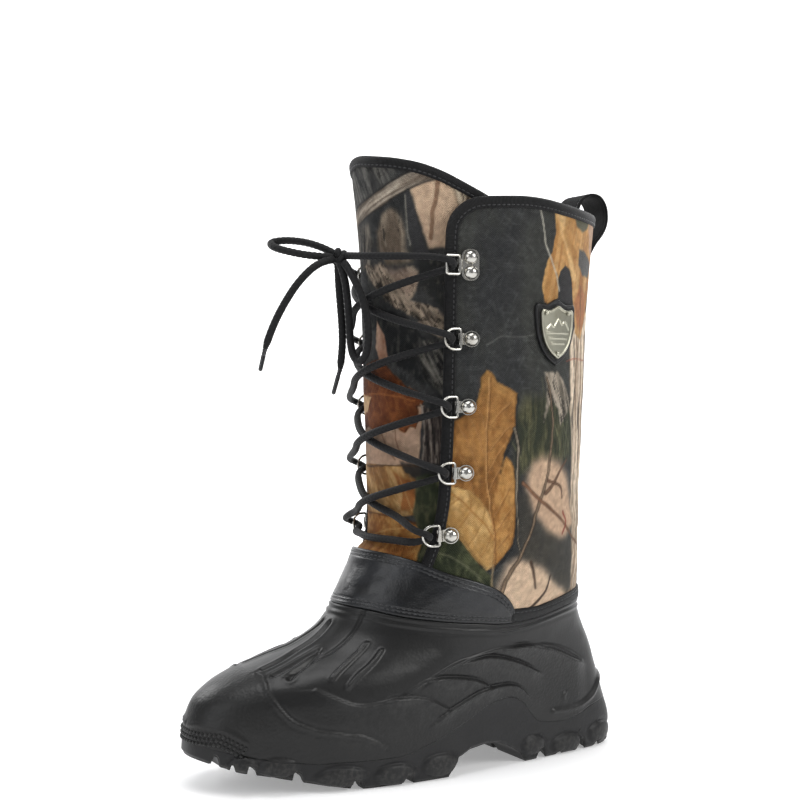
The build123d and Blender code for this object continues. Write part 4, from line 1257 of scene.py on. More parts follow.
    def edge(self, pts, w, k):
        """Darken a narrow inner margin of a shape."""
        p = np.array(pts, float)
        near = (self.s > p[:, 0].min()) & (self.s < p[:, 0].max()) & (self.z > p[:, 1].min()) & (self.z < p[:, 1].max())
        if near.any():
            P = np.stack([self.s[near], self.z[near]], 1)
            d = dist_line(P, np.vstack([p, p[:1]]))
            f = np.where(inside(P[:, 0], P[:, 1], pts), 1 - (1 - k) * sstep(w * 1.4, 0.0, d), 1.0)
            self.rgb[near] = self.rgb[near] * f[:, None]

    def line(self, pts, w, col, alpha=1.0):
        """A thin drawn line, w its half width."""
        L = catmull(pts, 6) if len(pts) > 2 else np.array(pts, float)
        near = (self.s > L[:, 0].min() - 3) & (self.s < L[:, 0].max() + 3) & (self.z > L[:, 1].min() - 3) & (self.z < L[:, 1].max() + 3)
        if near.any():
            P = np.stack([self.s[near], self.z[near]], 1) + np.stack([self.n(6, 6, 81, 2)[near] - 0.5, self.n(6, 6, 82, 2)[near] - 0.5], 1) * 1.2
            d = dist_line(P, L)
            m = np.zeros(len(self.s))
            m[near] = sstep(w + 0.45, max(w - 0.35, 0), d) * alpha
            self.over(m, col)

    def scratches(self, alpha, k, scale=1.0):
        """Faint fine strokes leaning several ways."""
        for i, a in enumerate((0.9, -0.5, 0.25, 1.6)):
            ca, sa = math.cos(a), math.sin(a)
            u, v = self.s * ca + self.z * sa, -self.s * sa + self.z * ca
            f = fbm(u / (1.3 * scale), v / (11 * scale), self.seed + 500 + 10 * k + i, 2)
            self.over(sstep(0.66, 0.80, f) * alpha * self.n(20, 20, 510 + i), C(128, 129, 130))

    def done(self):
        g = self.n(2.2, 2.2, 77, 3)
        rgb = self.rgb * (0.86 + 0.28 * g)[:, None]
        return linear(np.clip(rgb, 0, 255))


def paint_lateral(s, z, seed=3):
    c = Cloth(s, z, seed)
    c.rgb = c.tone(C(44, 45, 46), C(56, 57, 54), sstep(0.3, 0.7, c.n(24, 40, 1)))
    # plain charcoal top with faint scratches
    c.scratches(0.17, 0)
    c.scratches(0.10, 3, 0.9)
    # dark green growth in the middle
    m = c.soft([(106, 218), (114, 228), (130, 232), (143, 226), (158, 226), (164, 190), (136, 190), (121, 188), (109, 178)], 6, 3, 14, 2)
    c.over(m, c.tone(C(48, 52, 40), C(88, 86, 62), sstep(0.35, 0.75, c.n(2.4, 16, 62))))
    c.blades((110, 158, 186, 232), 400, 18, C(96, 96, 70))
    # out-of-focus pink ground
    m = c.soft([(121, 190), (128, 193), (136, 193.3), (147, 190), (154, 182), (158, 173), (164, 161), (168, 149), (158, 141), (147, 141), (133, 148), (120, 160), (116, 172), (116.7, 183)], 5, 2.5, 16, 9)
    c.over(m, c.tone(C(184, 154, 128), C(204, 174, 146), c.n(14, 20, 60)))
    m = c.soft([(106, 128), (113, 132), (122, 130), (132, 126), (144, 118.5), (158, 110), (176, 106), (170, 92), (108, 88), (104, 112)], 5, 2.5, 16, 10)
    c.over(m, c.tone(C(200, 172, 146), C(216, 190, 162), c.n(16, 12, 61)))
    m = c.soft([(109, 172), (116, 172), (120, 160), (133, 148), (151, 140), (166, 140), (176, 118), (170, 104), (158, 110), (132, 126), (113, 132), (109, 152)], 4, 2.5, 16, 11)
    c.over(m * 0.9, c.tone(C(50, 49, 46), C(74, 70, 62), c.n(9, 14, 63)))
    # pale bark down the heel side
    m = c.soft([(154, 262), (160, 274), (172, 280), (205, 300), (208, 90), (176, 96), (170, 120), (167, 140), (163, 174), (160, 208), (156, 232)], 1.6, 2.5, 12, 3)
    c.bark(m, C(236, 218, 194), C(128, 106, 86), 3, 2.6, 60, 0.05)
    m = c.soft([(178, 268), (205, 290), (205, 100), (188, 104), (186, 150), (182, 200)], 2.5, 3, 20, 13)
    c.bark(m, C(150, 132, 112), C(70, 60, 50), 13, 2.2, 50, 0.02)
    # grey splinter under the badge
    m = c.soft([(128, 246), (141, 246), (150, 236), (158, 229), (154, 220), (146, 212), (142, 224), (135, 227), (130, 214), (131, 235)], 1.0, 2.0, 8, 4)
    c.bark(m, C(172, 160, 144), C(84, 78, 68), 4, 2.0, 18, 0.4)
    # light orange leaves, top right
    m = c.soft([(131, 362), (134, 331), (131.8, 319), (126, 309), (124.5, 297), (127, 288), (134, 286), (139, 291), (138.5, 302), (140, 308), (143.6, 312), (149, 309), (153, 301), (155, 292), (157, 284), (160, 270), (168, 266), (178, 282), (186, 300), (190, 320), (190, 362)], 0.5, 1.6, 9, 5)
    f = fbm((c.s - 0.16 * c.z) / 3.4, c.z / 44, seed + 70, 4)
    g = c.n(18, 30, 71)
    c.over(m, c.tone(c.tone(C(150, 104, 60), C(196, 156, 104), sstep(0.3, 0.68, f)), C(186, 140, 84), sstep(0.45, 0.75, g) * 0.6))
    m = c.soft([(133, 362), (139, 350), (144, 334), (149.6, 322), (154, 311), (158, 303), (153, 303), (146, 318), (139, 331), (134, 342)], 1.4, 1.5, 10, 6)
    c.over(m * 0.85, C(214, 178, 126))
    c.over(c.soft([(142, 340), (150, 326), (157, 318), (152, 314), (146, 322), (141, 332)], 1.5, 1.5, 10, 16) * 0.6, C(154, 108, 58))
    c.over(c.soft([(171, 352), (190, 352), (192, 318), (178, 322), (172, 336)], 2.0, 2, 10, 7) * 0.8, c.tone(C(190, 164, 146), C(160, 134, 120), c.n(4, 16, 72)))
    c.over(c.soft([(150, 345), (163, 347), (172, 343), (169.5, 337), (162, 334), (154, 337)], 1.2, 1.2, 8, 8), C(90, 89, 74))
    c.over(c.soft([(159, 323), (168, 322), (186, 314), (180, 306), (166, 307), (160, 313)], 1.0, 1.4, 8, 12), C(82, 81, 80))
    c.over(c.soft([(141, 291), (140, 300), (141.4, 308), (144.3, 311.5), (148, 308), (151.6, 300), (152.6, 290), (150, 286)], 0.5, 0.8, 6, 14), C(54, 53, 54))
    m = c.soft([(156, 290), (162, 276), (170, 270), (176, 284), (174, 296), (166, 302)], 2.0, 2, 9, 15)
    c.over(m * 0.7, C(150, 92, 60))
    # dark green leaf by the overlay
    m = c.soft([(50, 142), (62, 147), (70, 147), (79, 138), (88, 129), (97, 122), (102, 112), (104, 100), (92, 108), (73, 118), (56, 126), (46, 132)], 1.0, 1.4, 10, 17)
    c.over(m, c.tone(C(38, 44, 29), C(74, 78, 54), sstep(0.3, 0.75, c.n(5, 9, 64))))
    c.line([(54, 138), (72, 132), (88, 122), (99, 112)], 0.45, C(104, 104, 82), 0.7)
    for i in range(6):
        a = (58 + i * 7, 137 - i * 4.2)
        c.line([a, (a[0] + 5, a[1] - 7)], 0.35, C(88, 90, 66), 0.5)
    # the large ochre leaf
    big = [(88, 247), (91, 245), (95, 239), (101, 236.5), (108, 232.5), (107.4, 226), (106.8, 218), (107.2, 212), (103, 204), (99.5, 196), (98.2, 189), (97.4, 184), (99, 190), (101, 194.5), (104.5, 191), (106.6, 187), (107.8, 177), (108.2, 164), (108, 149), (106.4, 140), (102, 133), (97, 127), (92.8, 126), (87.5, 129), (79, 137.5), (70, 147), (52, 160), (50, 196), (64, 206), (68, 216), (76, 221), (81, 226), (83.8, 235), (84, 242)]
    sh = inside(c.s - 1.6, c.z + 2.2, big) | inside(c.s - 0.8, c.z + 1.1, big)
    c.over(sh * 0.6, C(30, 30, 30))
    m = c.soft(big, 0.45, 0.9, 6, 18)
    f = 0.5 * c.n(13, 20, 65) + 0.5 * c.n(3.4, 6, 66, 3)
    c.over(m, c.tone(C(126, 84, 42), C(164, 118, 66), sstep(0.3, 0.7, f)))
    c.over(m * sstep(222, 240, c.z) * 0.45, C(178, 138, 82))
    low = [(50, 178), (60, 176), (69.6, 176.5), (77.5, 174), (84, 169), (90, 159.6), (93, 148), (94, 140), (96.4, 127), (92.8, 125), (87.5, 128), (79, 136), (69.6, 145.5), (50, 160)]
    m = c.soft(low, 0.5, 1.0, 8, 19)
    f = 0.5 * c.n(12, 12, 67) + 0.5 * c.n(3, 5, 68, 3)
    c.over(m, c.tone(C(168, 128, 74), C(204, 166, 108), sstep(0.3, 0.7, f)))
    m = c.soft([(97.4, 184), (99, 191), (101, 194.6), (106.6, 187), (107.8, 177), (108.2, 164), (108, 149), (106.4, 140), (102, 133), (96.6, 127), (94, 144), (92.4, 160), (93.4, 172)], 0.8, 1.0, 8, 20)
    f = 0.5 * c.n(10, 16, 69) + 0.5 * c.n(3, 6, 70, 3)
    c.over(m, c.tone(C(144, 98, 50), C(184, 138, 80), sstep(0.3, 0.7, f)))
    c.edge(big, 1.0, 0.74)
    c.edge(low, 0.8, 0.82)
    V1, V2 = C(96, 60, 30), C(196, 150, 94)
    rib = [(89.7, 242), (89, 226), (87.6, 210), (87.7, 194), (88.2, 179), (90.1, 164.4), (92.2, 151), (94.4, 138), (96.4, 127)]
    c.line([(p[0] + 0.9, p[1]) for p in rib], 0.5, V1, 0.5)
    c.line(rib, 0.45, V2, 0.75)
    c.line([(50, 178), (60, 174.5), (70, 169.5), (79, 161.4), (87.6, 153), (93, 144)], 0.5, C(150, 104, 54), 0.8)
    for a, b in (((75, 221), (88, 190)), ((80, 226), (88, 206)), ((70, 214), (84, 180)), ((64, 206), (80, 172)), ((105, 228), (89.4, 212)), ((106, 214), (88.4, 196)),
                 ((102, 204), (88.4, 184)), ((98, 188), (89, 172)), ((106, 178), (93, 158)), ((107, 164), (94, 148)), ((105, 148), (95, 136))):
        mid = ((a[0] + b[0]) / 2 + 0.8, (a[1] + b[1]) / 2 + 2.5)
        c.line([(b[0], b[1]), (mid[0] + 0.5, mid[1] - 0.6), a], 0.42, V1, 0.38)
        c.line([b, mid, a], 0.34, V2, 0.45)
    for a, b in (((56, 160), (70, 169)), ((66, 148), (78, 161)), ((76, 140), (85, 154)), ((86, 131), (91, 146)), ((62, 176), (68, 171)), ((76, 174), (78, 163)), ((86, 166), (86, 156))):
        c.line([b, ((a[0] + b[0]) / 2 + 0.8, (a[1] + b[1]) / 2), a], 0.36, C(146, 104, 58), 0.6)
    c.line([(96.4, 128), (98, 120), (101, 112)], 0.55, C(150, 130, 100), 0.8)
    # twigs over it all
    c.twig([(107, 211), (109.2, 201), (109.4, 177), (109.2, 160), (110.8, 144), (114.2, 134)], 0.85, C(136, 126, 110), C(40, 36, 32), 21)
    c.twig([(104, 96), (107, 108), (108.4, 120), (114.8, 132.7), (121, 148), (127, 165), (133.5, 178.5), (136, 192), (137.6, 209), (135.8, 226), (131, 242)], 1.15, C(132, 112, 92), C(52, 42, 34), 22)
    c.twig([(114, 177.7), (129.4, 166), (146, 156), (166.7, 142), (183, 135)], 0.8, C(128, 92, 70), C(84, 60, 46), 23)
    c.twig([(132.5, 171), (140.8, 177), (147.6, 185), (153.8, 191)], 0.75, C(120, 92, 72), C(70, 50, 40), 24)
    c.twig([(135, 178.5), (148, 174), (150.6, 167)], 0.6, C(112, 84, 66), C(70, 50, 40), 31)
    c.twig([(128, 92), (133, 97.5), (139.3, 104), (143.6, 110), (144.5, 119)], 0.8, C(70, 54, 44), C(50, 40, 34), 32)
    c.twig([(123.6, 129), (129, 120), (133, 112)], 0.6, C(86, 66, 52), C(60, 48, 40), 33)
    c.twig([(152, 158), (156, 150), (152, 144)], 0.5, C(170, 70, 56), C(110, 60, 48), 34)
    c.line([(121.4, 352), (121.6, 345), (124, 335), (126.3, 324), (130.6, 316), (135, 308), (138, 302), (140, 296)], 0.5, C(186, 182, 168), 0.85)
    c.line([(88, 262), (97, 267), (106, 266.2), (120, 268.5)], 0.36, C(120, 120, 116), 0.45)
    c.line([(150, 252), (160, 253.7), (180.5, 253)], 0.4, C(150, 76, 60), 0.6)
    c.line([(166, 300), (167, 270), (163, 240), (168, 206), (166, 170), (170, 130)], 0.6, C(96, 78, 60), 0.6)
    return c.done()


def paint_tongue(s, z, seed=11):
    # past the middle the print runs on, leaning so that it does not mirror
    far = np.maximum(-20 - s, 0)
    c = Cloth(np.where(s < -20, -40 - s, s), z + 0.9 * far, seed)
    c.rgb = c.tone(C(42, 43, 43), C(58, 58, 57), sstep(0.3, 0.7, c.n(16, 30, 1)))
    c.scratches(0.2, 0)
    # flecked dark top
    c.bark(c.soft([(-30, 384), (34, 374), (30, 362), (14, 352), (-8, 346), (-30, 344)], 4, 3, 12, 1) * 0.85, C(112, 110, 104), C(46, 46, 46), 1, 2.2, 14, 0.5)
    # pink ground, top right
    m = c.soft([(40.9, 356), (48, 360), (60, 366), (90, 372), (90, 318), (60, 321), (52, 320), (48.4, 331), (44, 343)], 1.4, 1.8, 12, 2)
    c.over(m, c.tone(C(176, 148, 124), C(206, 180, 152), c.n(9, 22, 30)))
    c.line([(60.5, 366), (58, 352), (55, 341), (53.3, 326)], 1.3, C(122, 94, 74), 0.85)
    c.bark(c.soft([(66, 366), (90, 366), (90, 330), (72, 338)], 1.6, 2, 10, 3), C(206, 190, 166), C(104, 88, 72), 3, 2.4, 20, 0.3)
    # grey wood
    m = c.soft([(21, 342), (27, 345), (33, 341), (35, 331), (35, 320), (40, 312), (20, 310), (14, 320), (13, 331)], 2.5, 2, 10, 4)
    c.bark(m, C(152, 138, 120), C(96, 84, 72), 4, 3.0, 22, 0.1)
    m = c.soft([(-20, 336), (6, 336), (10, 322), (2, 300), (-20, 296)], 3, 3, 10, 6)
    c.bark(m, C(126, 118, 106), C(50, 48, 46), 6, 2.2, 14, -0.3)
    m = c.soft([(38.5, 357), (41, 354), (43.6, 346), (46, 334), (50.5, 320), (56, 308), (43, 306), (40, 328), (37, 341)], 0.8, 1.2, 8, 5)
    c.over(m, C(54, 54, 55))
    c.line([(38, 352), (37.4, 338), (39, 322)], 0.6, C(132, 128, 118), 0.7)
    # fallen branch
    L = catmull([(-34, 332), (-14, 341), (6.7, 347), (20, 351.5), (30, 356), (40, 360.5), (50, 364), (60, 366), (72, 366.5), (90, 365)], 8)
    d, t = along_line(np.stack([c.s, c.z], 1), L)
    f = fbm((c.z - c.s * 0.4) / 1.6, c.s / 20, seed + 50, 4)
    w = 5.2 - 2.2 * t + 1.2 * (c.n(10, 10, 51) - 0.5)
    c.over(sstep(0.8, -0.8, d - w - 1.2) * 0.85, C(44, 42, 40))
    c.over(sstep(0.5, -0.5, d - w), c.tone(C(104, 92, 80), C(178, 166, 150), sstep(0.3, 0.7, f)) * (1.06 - 0.28 * np.clip(d / 5, 0, 1))[:, None])
    # crackled light bark running down to the right
    m = c.soft([(-4, 312), (13, 312), (24, 306), (36, 310), (45, 308), (44, 297), (38, 290), (46, 287), (60, 281), (74, 276), (74, 262), (58, 266), (49, 270), (37, 281), (23, 287), (9, 297)], 1.2, 3, 9, 7)
    c.bark(m, C(172, 154, 134), C(70, 62, 54), 7, 2.4, 7, 0.7)
    c.over(c.soft([(20, 308), (34, 309), (44, 306), (42, 297), (36, 290), (28, 299)], 2.0, 2, 8, 8) * 0.55, C(176, 150, 132))
    c.over(c.soft([(43.5, 316), (80, 316), (80, 282), (58, 284), (50, 292), (45, 298)], 2.0, 2, 8, 9) * 0.9, c.tone(C(38, 39, 38), C(70, 68, 62), sstep(0.5, 0.8, c.n(2.2, 3.4, 33, 3))))
    # dark middle
    m = c.soft([(-20, 309), (-3, 309), (4, 296), (9, 284), (20, 284), (34, 280), (46, 268), (60, 262), (76, 262), (76, 226), (60, 234), (46, 238), (24, 254), (11, 270), (-20, 276)], 1.6, 2.4, 10, 10)
    c.over(m, c.tone(C(26, 27, 28), C(60, 60, 56), sstep(0.45, 0.85, c.n(2.6, 5, 34, 3))))
    c.bark(c.soft([(40, 262), (64, 268), (80, 262), (80, 226), (58, 232), (44, 246)], 1.5, 2.5, 8, 11) * 0.8, C(132, 128, 118), C(34, 34, 34), 11, 1.8, 9, 0.6)
    c.over(c.soft([(9, 277), (16, 268.7), (20, 254), (12, 251), (7, 260)], 0.8, 1, 6, 12), c.tone(C(196, 166, 144), C(164, 116, 90), c.n(4, 8, 35)))
    # red-brown leaf
    org = [(-24, 246), (-8, 250), (7.4, 253), (14, 252), (22.5, 246), (34.6, 236.5), (44, 232.5), (47.4, 229), (45.5, 224.6), (41.9, 224.6), (43, 217), (40.5, 211), (36, 212), (32, 208.6), (28, 210), (23.5, 214.6), (19, 210.5), (14, 211), (6, 208), (-6, 211), (-16, 210), (-24, 212)]
    m = c.soft(org, 0.5, 1.0, 6, 13)
    f = 0.5 * c.n(12, 10, 36) + 0.5 * c.n(3, 3, 37, 3)
    # pink under it
    mp = c.soft([(-24, 213), (14, 213), (24, 216), (41, 226), (47, 225), (44, 210), (42, 188), (-24, 187)], 0.7, 1.0, 8, 15)
    c.over(mp, c.tone(C(160, 130, 108), C(190, 160, 136), c.n(9, 6, 38)))
    c.over(m, c.tone(C(92, 48, 22), C(132, 76, 40), sstep(0.3, 0.75, f)))
    c.edge(org, 1.0, 0.7)
    c.line([(-20, 230), (4, 232), (24, 231), (40, 228)], 0.5, C(152, 92, 50), 0.7)
    for i in range(7):
        x = -16 + i * 8
        c.line([(x, 231), (x + 5, 240 - 0.6 * i)], 0.35, C(146, 88, 48), 0.5)
        c.line([(x, 231), (x + 5, 219)], 0.35, C(146, 88, 48), 0.45)
    c.over(c.soft([(-24, 233), (-12, 231), (1, 229.6), (-4, 225), (-7, 221), (-12, 220), (-24, 216)], 0.5, 0.8, 6, 14), C(196, 160, 118))
    c.line([(10, 210), (16, 200), (24, 192)], 0.5, C(104, 74, 56), 0.7)
    c.line([(24, 212), (26, 200), (34, 190)], 0.45, C(96, 68, 52), 0.6)
    # streaked bark strip at the placket
    c.bark(c.soft([(44, 226), (60, 219), (82, 222), (82, 186), (58, 187), (44, 192), (46, 208)], 0.7, 1.2, 6, 16), C(160, 148, 136), C(40, 34, 32), 16, 1.7, 16, 0.05)
    # seam of the print, ochre leaves and green below
    m = c.soft([(-24, 187.5), (26, 188.5), (44, 190), (44, 178), (41, 174), (39, 158), (19, 157), (-24, 158)], 0.5, 0.8, 8, 17)
    f = fbm((c.s + c.z) / 7, (c.z - c.s) / 22, seed + 80, 4)
    c.over(m, c.tone(C(130, 90, 48), C(184, 146, 96), sstep(0.3, 0.7, f)))
    c.over(c.soft([(22, 184), (40, 178), (38, 162), (26, 160), (30, 170)], 1.0, 1, 6, 18) * 0.8, C(142, 86, 44))
    for i in range(7):
        c.line([(-20 + i * 9, 186), (-8 + i * 9, 160)], 0.4, C(196, 160, 110), 0.4)
    c.over(c.soft([(28, 190), (62, 190), (62, 182), (40, 180), (32, 184)], 1.2, 1.5, 6, 19) * 0.9, C(40, 40, 40))
    m = c.soft([(-24, 158.5), (20, 157.5), (39, 153), (46, 146), (50, 124), (20, 124), (-24, 124)], 0.5, 0.8, 8, 20)
    f = 0.5 * c.n(12, 8, 39) + 0.5 * c.n(3, 3, 40, 3)
    c.over(m, c.tone(C(128, 80, 36), C(176, 130, 74), sstep(0.3, 0.7, f)))
    c.line([(-20, 157.5), (20, 157), (40, 153)], 0.6, C(86, 50, 24), 0.8)
    c.line([(-20, 138), (4, 146), (30, 150)], 0.4, C(196, 152, 96), 0.6)
    m = c.soft([(40, 182), (56, 183), (82, 184), (82, 122), (48, 122), (44, 142), (38, 158)], 1.2, 1.5, 8, 21)
    c.over(m, c.tone(C(44, 50, 34), C(82, 82, 60), sstep(0.35, 0.75, c.n(4, 6, 41, 3))))
    c.line([(-14, 186.5), (20, 188), (44, 188.5)], 0.5, C(60, 44, 32), 0.8)
    return c.done()


def paint_medial(s, z):
    """The inner side carries another stretch of the same print."""
    return paint_lateral(np.abs(s) + 14, z + 12, 29)


# ================================================================ quarters
def edge_line(d, first=0):
    """Placket and collar line moved into the quarter by d (side view)."""
    c = catmull(PLACKET[first:] + COLLAR[1:], 6)
    t = np.gradient(c, axis=0)
    t = t / np.linalg.norm(t, axis=1, keepdims=True)
    return np.stack([c[:, 0] + d * t[:, 1], c[:, 1] - d * t[:, 0]], 1)


def region_patch(name, sgn, s0, s1, z0, z1, keep, off_out, off_in, mat, step=1.0, painter=None, bump=None, uv=True):
    s = np.arange(s0, s1 + 1e-6, step)
    z = np.arange(z0, z1 + 1e-6, step)
    S, Z = np.meshgrid(s, z, indexing="ij")
    T = UNARC(S)
    yy = Q(Z, T)[..., 1]
    good = keep(yy, Z, S)
    F = grid_faces(len(s), len(z))
    F = F[good.ravel()[F].all(1)]
    oo = off_out(Z, T) if callable(off_out) else off_out
    oi = off_in(Z, T) if callable(off_in) else off_in
    b = bump(S, Z) if bump is not None else 0.0
    A = Q(Z, T * sgn, oo - b)
    B = Q(Z, T * sgn, oi)
    used, (F,), fl, col = compact(A.reshape(-1, 3), [F], np.stack([S, Z], -1).reshape(-1, 2), None)
    idx = np.unique(grid_faces(len(s), len(z))[good.ravel()[grid_faces(len(s), len(z))].all(1)].ravel())
    Bv = B.reshape(-1, 3)[idx]
    V, Fs = shut(used, Bv, F)
    colour = None
    if painter is not None:
        colour = painter(fl[:, 0], fl[:, 1])
        colour = np.vstack([colour, colour * 0.4])
    return make(name, V, Fs, mat, uv=np.vstack([fl, fl]), colour=colour)


def cloth_bumps(S, Z, seed):
    """Gentle ripples of quilted cloth: more at the ankle, little at the collar."""
    low = 1 - sstep(120, 230, Z)
    a = (fbm(S / 30, Z / 20, seed, 3) - 0.5) * (0.7 + 2.0 * low)
    b = (fbm(S / 60 + 3, Z / 9, seed + 5, 2) - 0.5) * 1.3 * low
    return a + b


Q_EDGE = edge_line(2.6)
Q_POLY = [(-25, 60)] + [tuple(p) for p in Q_EDGE] + [(150, 343.6), (150, 60)]
S_BACK = float(ARC(PI))


def quarter_keep(y, z, s):
    return inside(y, z, Q_POLY) & (z > f_seam(np.clip(y, -70, 135)) + 0.8)


for sgn, word, paint, seed in ((1, "left", paint_lateral, 41), (-1, "right", paint_medial, 53)):
    ob = region_patch("camo_quarter_" + word, sgn, 42.0, S_BACK, 90.0, 350.0, quarter_keep, 0.0, 1.45, M_CAMO, 0.8 if sgn > 0 else 1.0, paint,
                      lambda S, Z, k=seed: cloth_bumps(S, Z, k) * sstep(0, 10, S_BACK - S) - 0.5 * np.exp(-((S_BACK - S) / 1.2) ** 2))
    finish_piece(ob, "boot", "camo_fabric", "quarter_" + word)
    for dd, tag in ((3.2, "a"),):
        zz = np.arange(106, 343, 1.0)
        th = UNARC(np.full(len(zz), S_BACK - dd)) * sgn
        stitches("back_seam_stitch_" + word, Q(zz, th), NRM(zz, th), "boot", M_THREAD, slot="camo_fabric")


# wadding and pile lining round the shaft
def ring_keep(y, z, s):
    return inside(y, z, [(-25, 60)] + [tuple(p) for p in edge_line(5.0)] + [(150, 341.5), (150, 60)]) & (z > f_seam(np.clip(y, -70, 135)) - 2)


for sgn, word in ((1, "left"), (-1, "right")):
    ob = region_patch("wadding_" + word, sgn, 44.0, S_BACK, 98.0, 348.0, ring_keep, lambda Z, T: 1.75 + 0 * Z, lambda Z, T: 4.2 + 0 * Z, M_WAD, 3.0)
    finish_piece(ob, "boot", "wadding", *(["insulation"] if sgn > 0 else []))
    ob = region_patch("pile_lining_" + word, sgn, 44.0, S_BACK, 98.0, 348.0, ring_keep, lambda Z, T: 4.5 + 0 * Z,
                      lambda Z, T: 6.7 + 1.6 * (fbm(ARC(T) / 4.0, Z / 4.0, 71, 3) - 0.5), M_FLEECE, 1.6)
    finish_piece(ob, "boot", "fleece", *(["fleece_lining"] if sgn > 0 else []))


# ================================================================= binding
BIND_PROF = [(7.0, -0.3), (7.02, 0.5), (6.6, 0.9), (5.7, 1.02), (5.2, 0.82), (4.7, 1.05), (2.6, 1.2), (1.0, 1.05), (0.1, 0.5), (-0.4, -0.5),
             (-0.55, -2.0), (-0.6, -3.4), (-0.5, -5.0), (-0.25, -6.3), (0.4, -7.3), (1.6, -7.8), (3.4, -7.9), (5.4, -7.8), (6.6, -7.5), (7.0, -6.9), (7.0, -4.0)]


def quarter_binding(sgn, word):
    line = edge_line(0.0, 2)
    line = line[line[:, 0] < float(Q(346.0, PI)[1]) - 0.02]
    line = np.vstack([line, [float(Q(346.0, PI)[1]), 346.0]])
    th = TH(line[:, 0], line[:, 1]) * sgn
    P = Q(line[:, 1], th)
    n = NRM(line[:, 1], th)
    both = resample(np.hstack([P, n]), 1.0)
    P, n = both[:, :3], both[:, 3:]
    prof = np.array(BIND_PROF) * [sgn, 1]
    V, F, uv = sweep(P, n, prof)
    ob = make("edge_binding_" + word, V, F, M_BIND, uv=uv)
    finish_piece(ob, "boot", "black_binding", "binding_" + word)
    T = np.gradient(P, axis=0)
    T /= np.linalg.norm(T, axis=1, keepdims=True)
    B = np.cross(T, n) * sgn
    stitches("binding_stitch_" + word, P + B * 5.2 + n * 0.8, n, "boot", M_THREAD, step=3.2, slot="black_binding")


quarter_binding(1, "left")
quarter_binding(-1, "right")


# ================================================================== tongue
T_OFF = lambda Z: np.interp(Z, [124, 131, 135, 138, 141, 150, 160], [1.0, 1.3, 2.6, 5.2, 6.6, 7.3, 7.5])
T_POLY = [(-70, 128.5), (2, 128.5), (14.0, 140), (27, 346.0)] + [(p[0], p[1] - 1.5) for p in reversed(TONGUE_TOP[:-1])] + [(-70, 378.5)]


def tongue_keep(y, z, s):
    return inside(y, z, T_POLY)


ST = float(ARC(TH(27.5, 349.0, 7.5)))


def sym_patch(name, half, z0, z1, keep, off_out, off_in, mat, step, painter=None, bump=None):
    s = np.arange(-half, half + 1e-6, step)
    z = np.arange(z0, z1 + 1e-6, step)
    S, Z = np.meshgrid(s, z, indexing="ij")
    T = UNARC(S)
    oo, oi = off_out(Z), off_in(Z)
    yy = Q(Z, T, oo)[..., 1]
    good = keep(yy, Z, S)
    F0 = grid_faces(len(s), len(z))
    F = F0[good.ravel()[F0].all(1)]
    b = bump(S, Z) if bump is not None else 0.0
    A, B = Q(Z, T, oo - b).reshape(-1, 3), Q(Z, T, oi).reshape(-1, 3)
    idx = np.unique(F.ravel())
    remap = np.full(len(A), -1)
    remap[idx] = np.arange(len(idx))
    F = remap[F]
    V, Fs = shut(A[idx], B[idx], F)
    fl = np.stack([S, Z], -1).reshape(-1, 2)[idx]
    col = None
    if painter is not None:
        col = painter(fl[:, 0], fl[:, 1])
        col = np.vstack([col, col * 0.4])
    return make(name, V, Fs, mat, uv=np.vstack([fl, fl]), colour=col)


def row(v):
    return tuple((np.asarray(v, float) + SHIFT) * 0.001)


tongue_ob = sym_patch("camo_tongue", ST + 2, 128.0, 380.0, tongue_keep, T_OFF, lambda Z: T_OFF(Z) + 1.4, M_CAMO, 0.8, paint_tongue,
                      lambda S, Z: (fbm(S / 34, Z / 26, 91, 3) - 0.5) * 1.3 * sstep(150, 190, Z))
row((0, -30, 132.0))
row((0, -30, 150.0))
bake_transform(tongue_ob)
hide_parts("tongue_panel")

lin_ob = sym_patch("tongue_pile", ST, 134.0, 378.0, lambda y, z, s: inside(y, z, [(-70, 134), (10, 134), (14, 142), (27, 346)] + [(p[0], p[1] - 3) for p in reversed(TONGUE_TOP[:-1])]),
                   lambda Z: T_OFF(Z) + 1.7, lambda Z: np.minimum(T_OFF(Z) + 4.6, 12.2), M_FLEECE, 2.0,
                   bump=lambda S, Z: 0 * S)
row((0, -30, 132.0))
row((0, -30, 150.0))
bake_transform(lin_ob)
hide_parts("tongue_lining")


def tongue_edge():
    te = float(TH(26.6, 349.8, 7.5))
    th = np.linspace(-te, te, 240)
    z = on_line(th, f_tongue, off=7.5, z0=370.0)
    P, n = Q(z, th, 7.5), NRM(z, th, 7.5)
    both = resample(np.hstack([P, n]), 1.0)
    P, n = both[:, :3], both[:, 3:]
    prof = [(6.4, -0.2), (6.4, 0.5), (6.0, 0.85), (5.2, 0.95), (4.8, 0.75), (4.3, 0.98), (2.4, 1.1), (0.9, 0.95), (0.1, 0.4), (-0.3, -0.6),
            (-0.4, -2.0), (-0.3, -3.4), (0.1, -4.6), (1.0, -5.2), (3.0, -5.4), (5.0, -5.3), (6.0, -5.0), (6.4, -4.4), (6.4, -2.0)]
    V, F, uv = sweep(P, n, prof)
    ob = make("tongue_edge_binding", V, F, M_BIND, uv=uv)
    finish_piece(ob, "tongue", "black_binding", "tongue_binding")
    T = np.gradient(P, axis=0)
    T /= np.linalg.norm(T, axis=1, keepdims=True)
    B = np.cross(T, n)
    stitches("tongue_binding_stitch", P + B * 4.8 + n * 0.75, n, "tongue", M_THREAD, step=3.2, slot="black_binding")


tongue_edge()

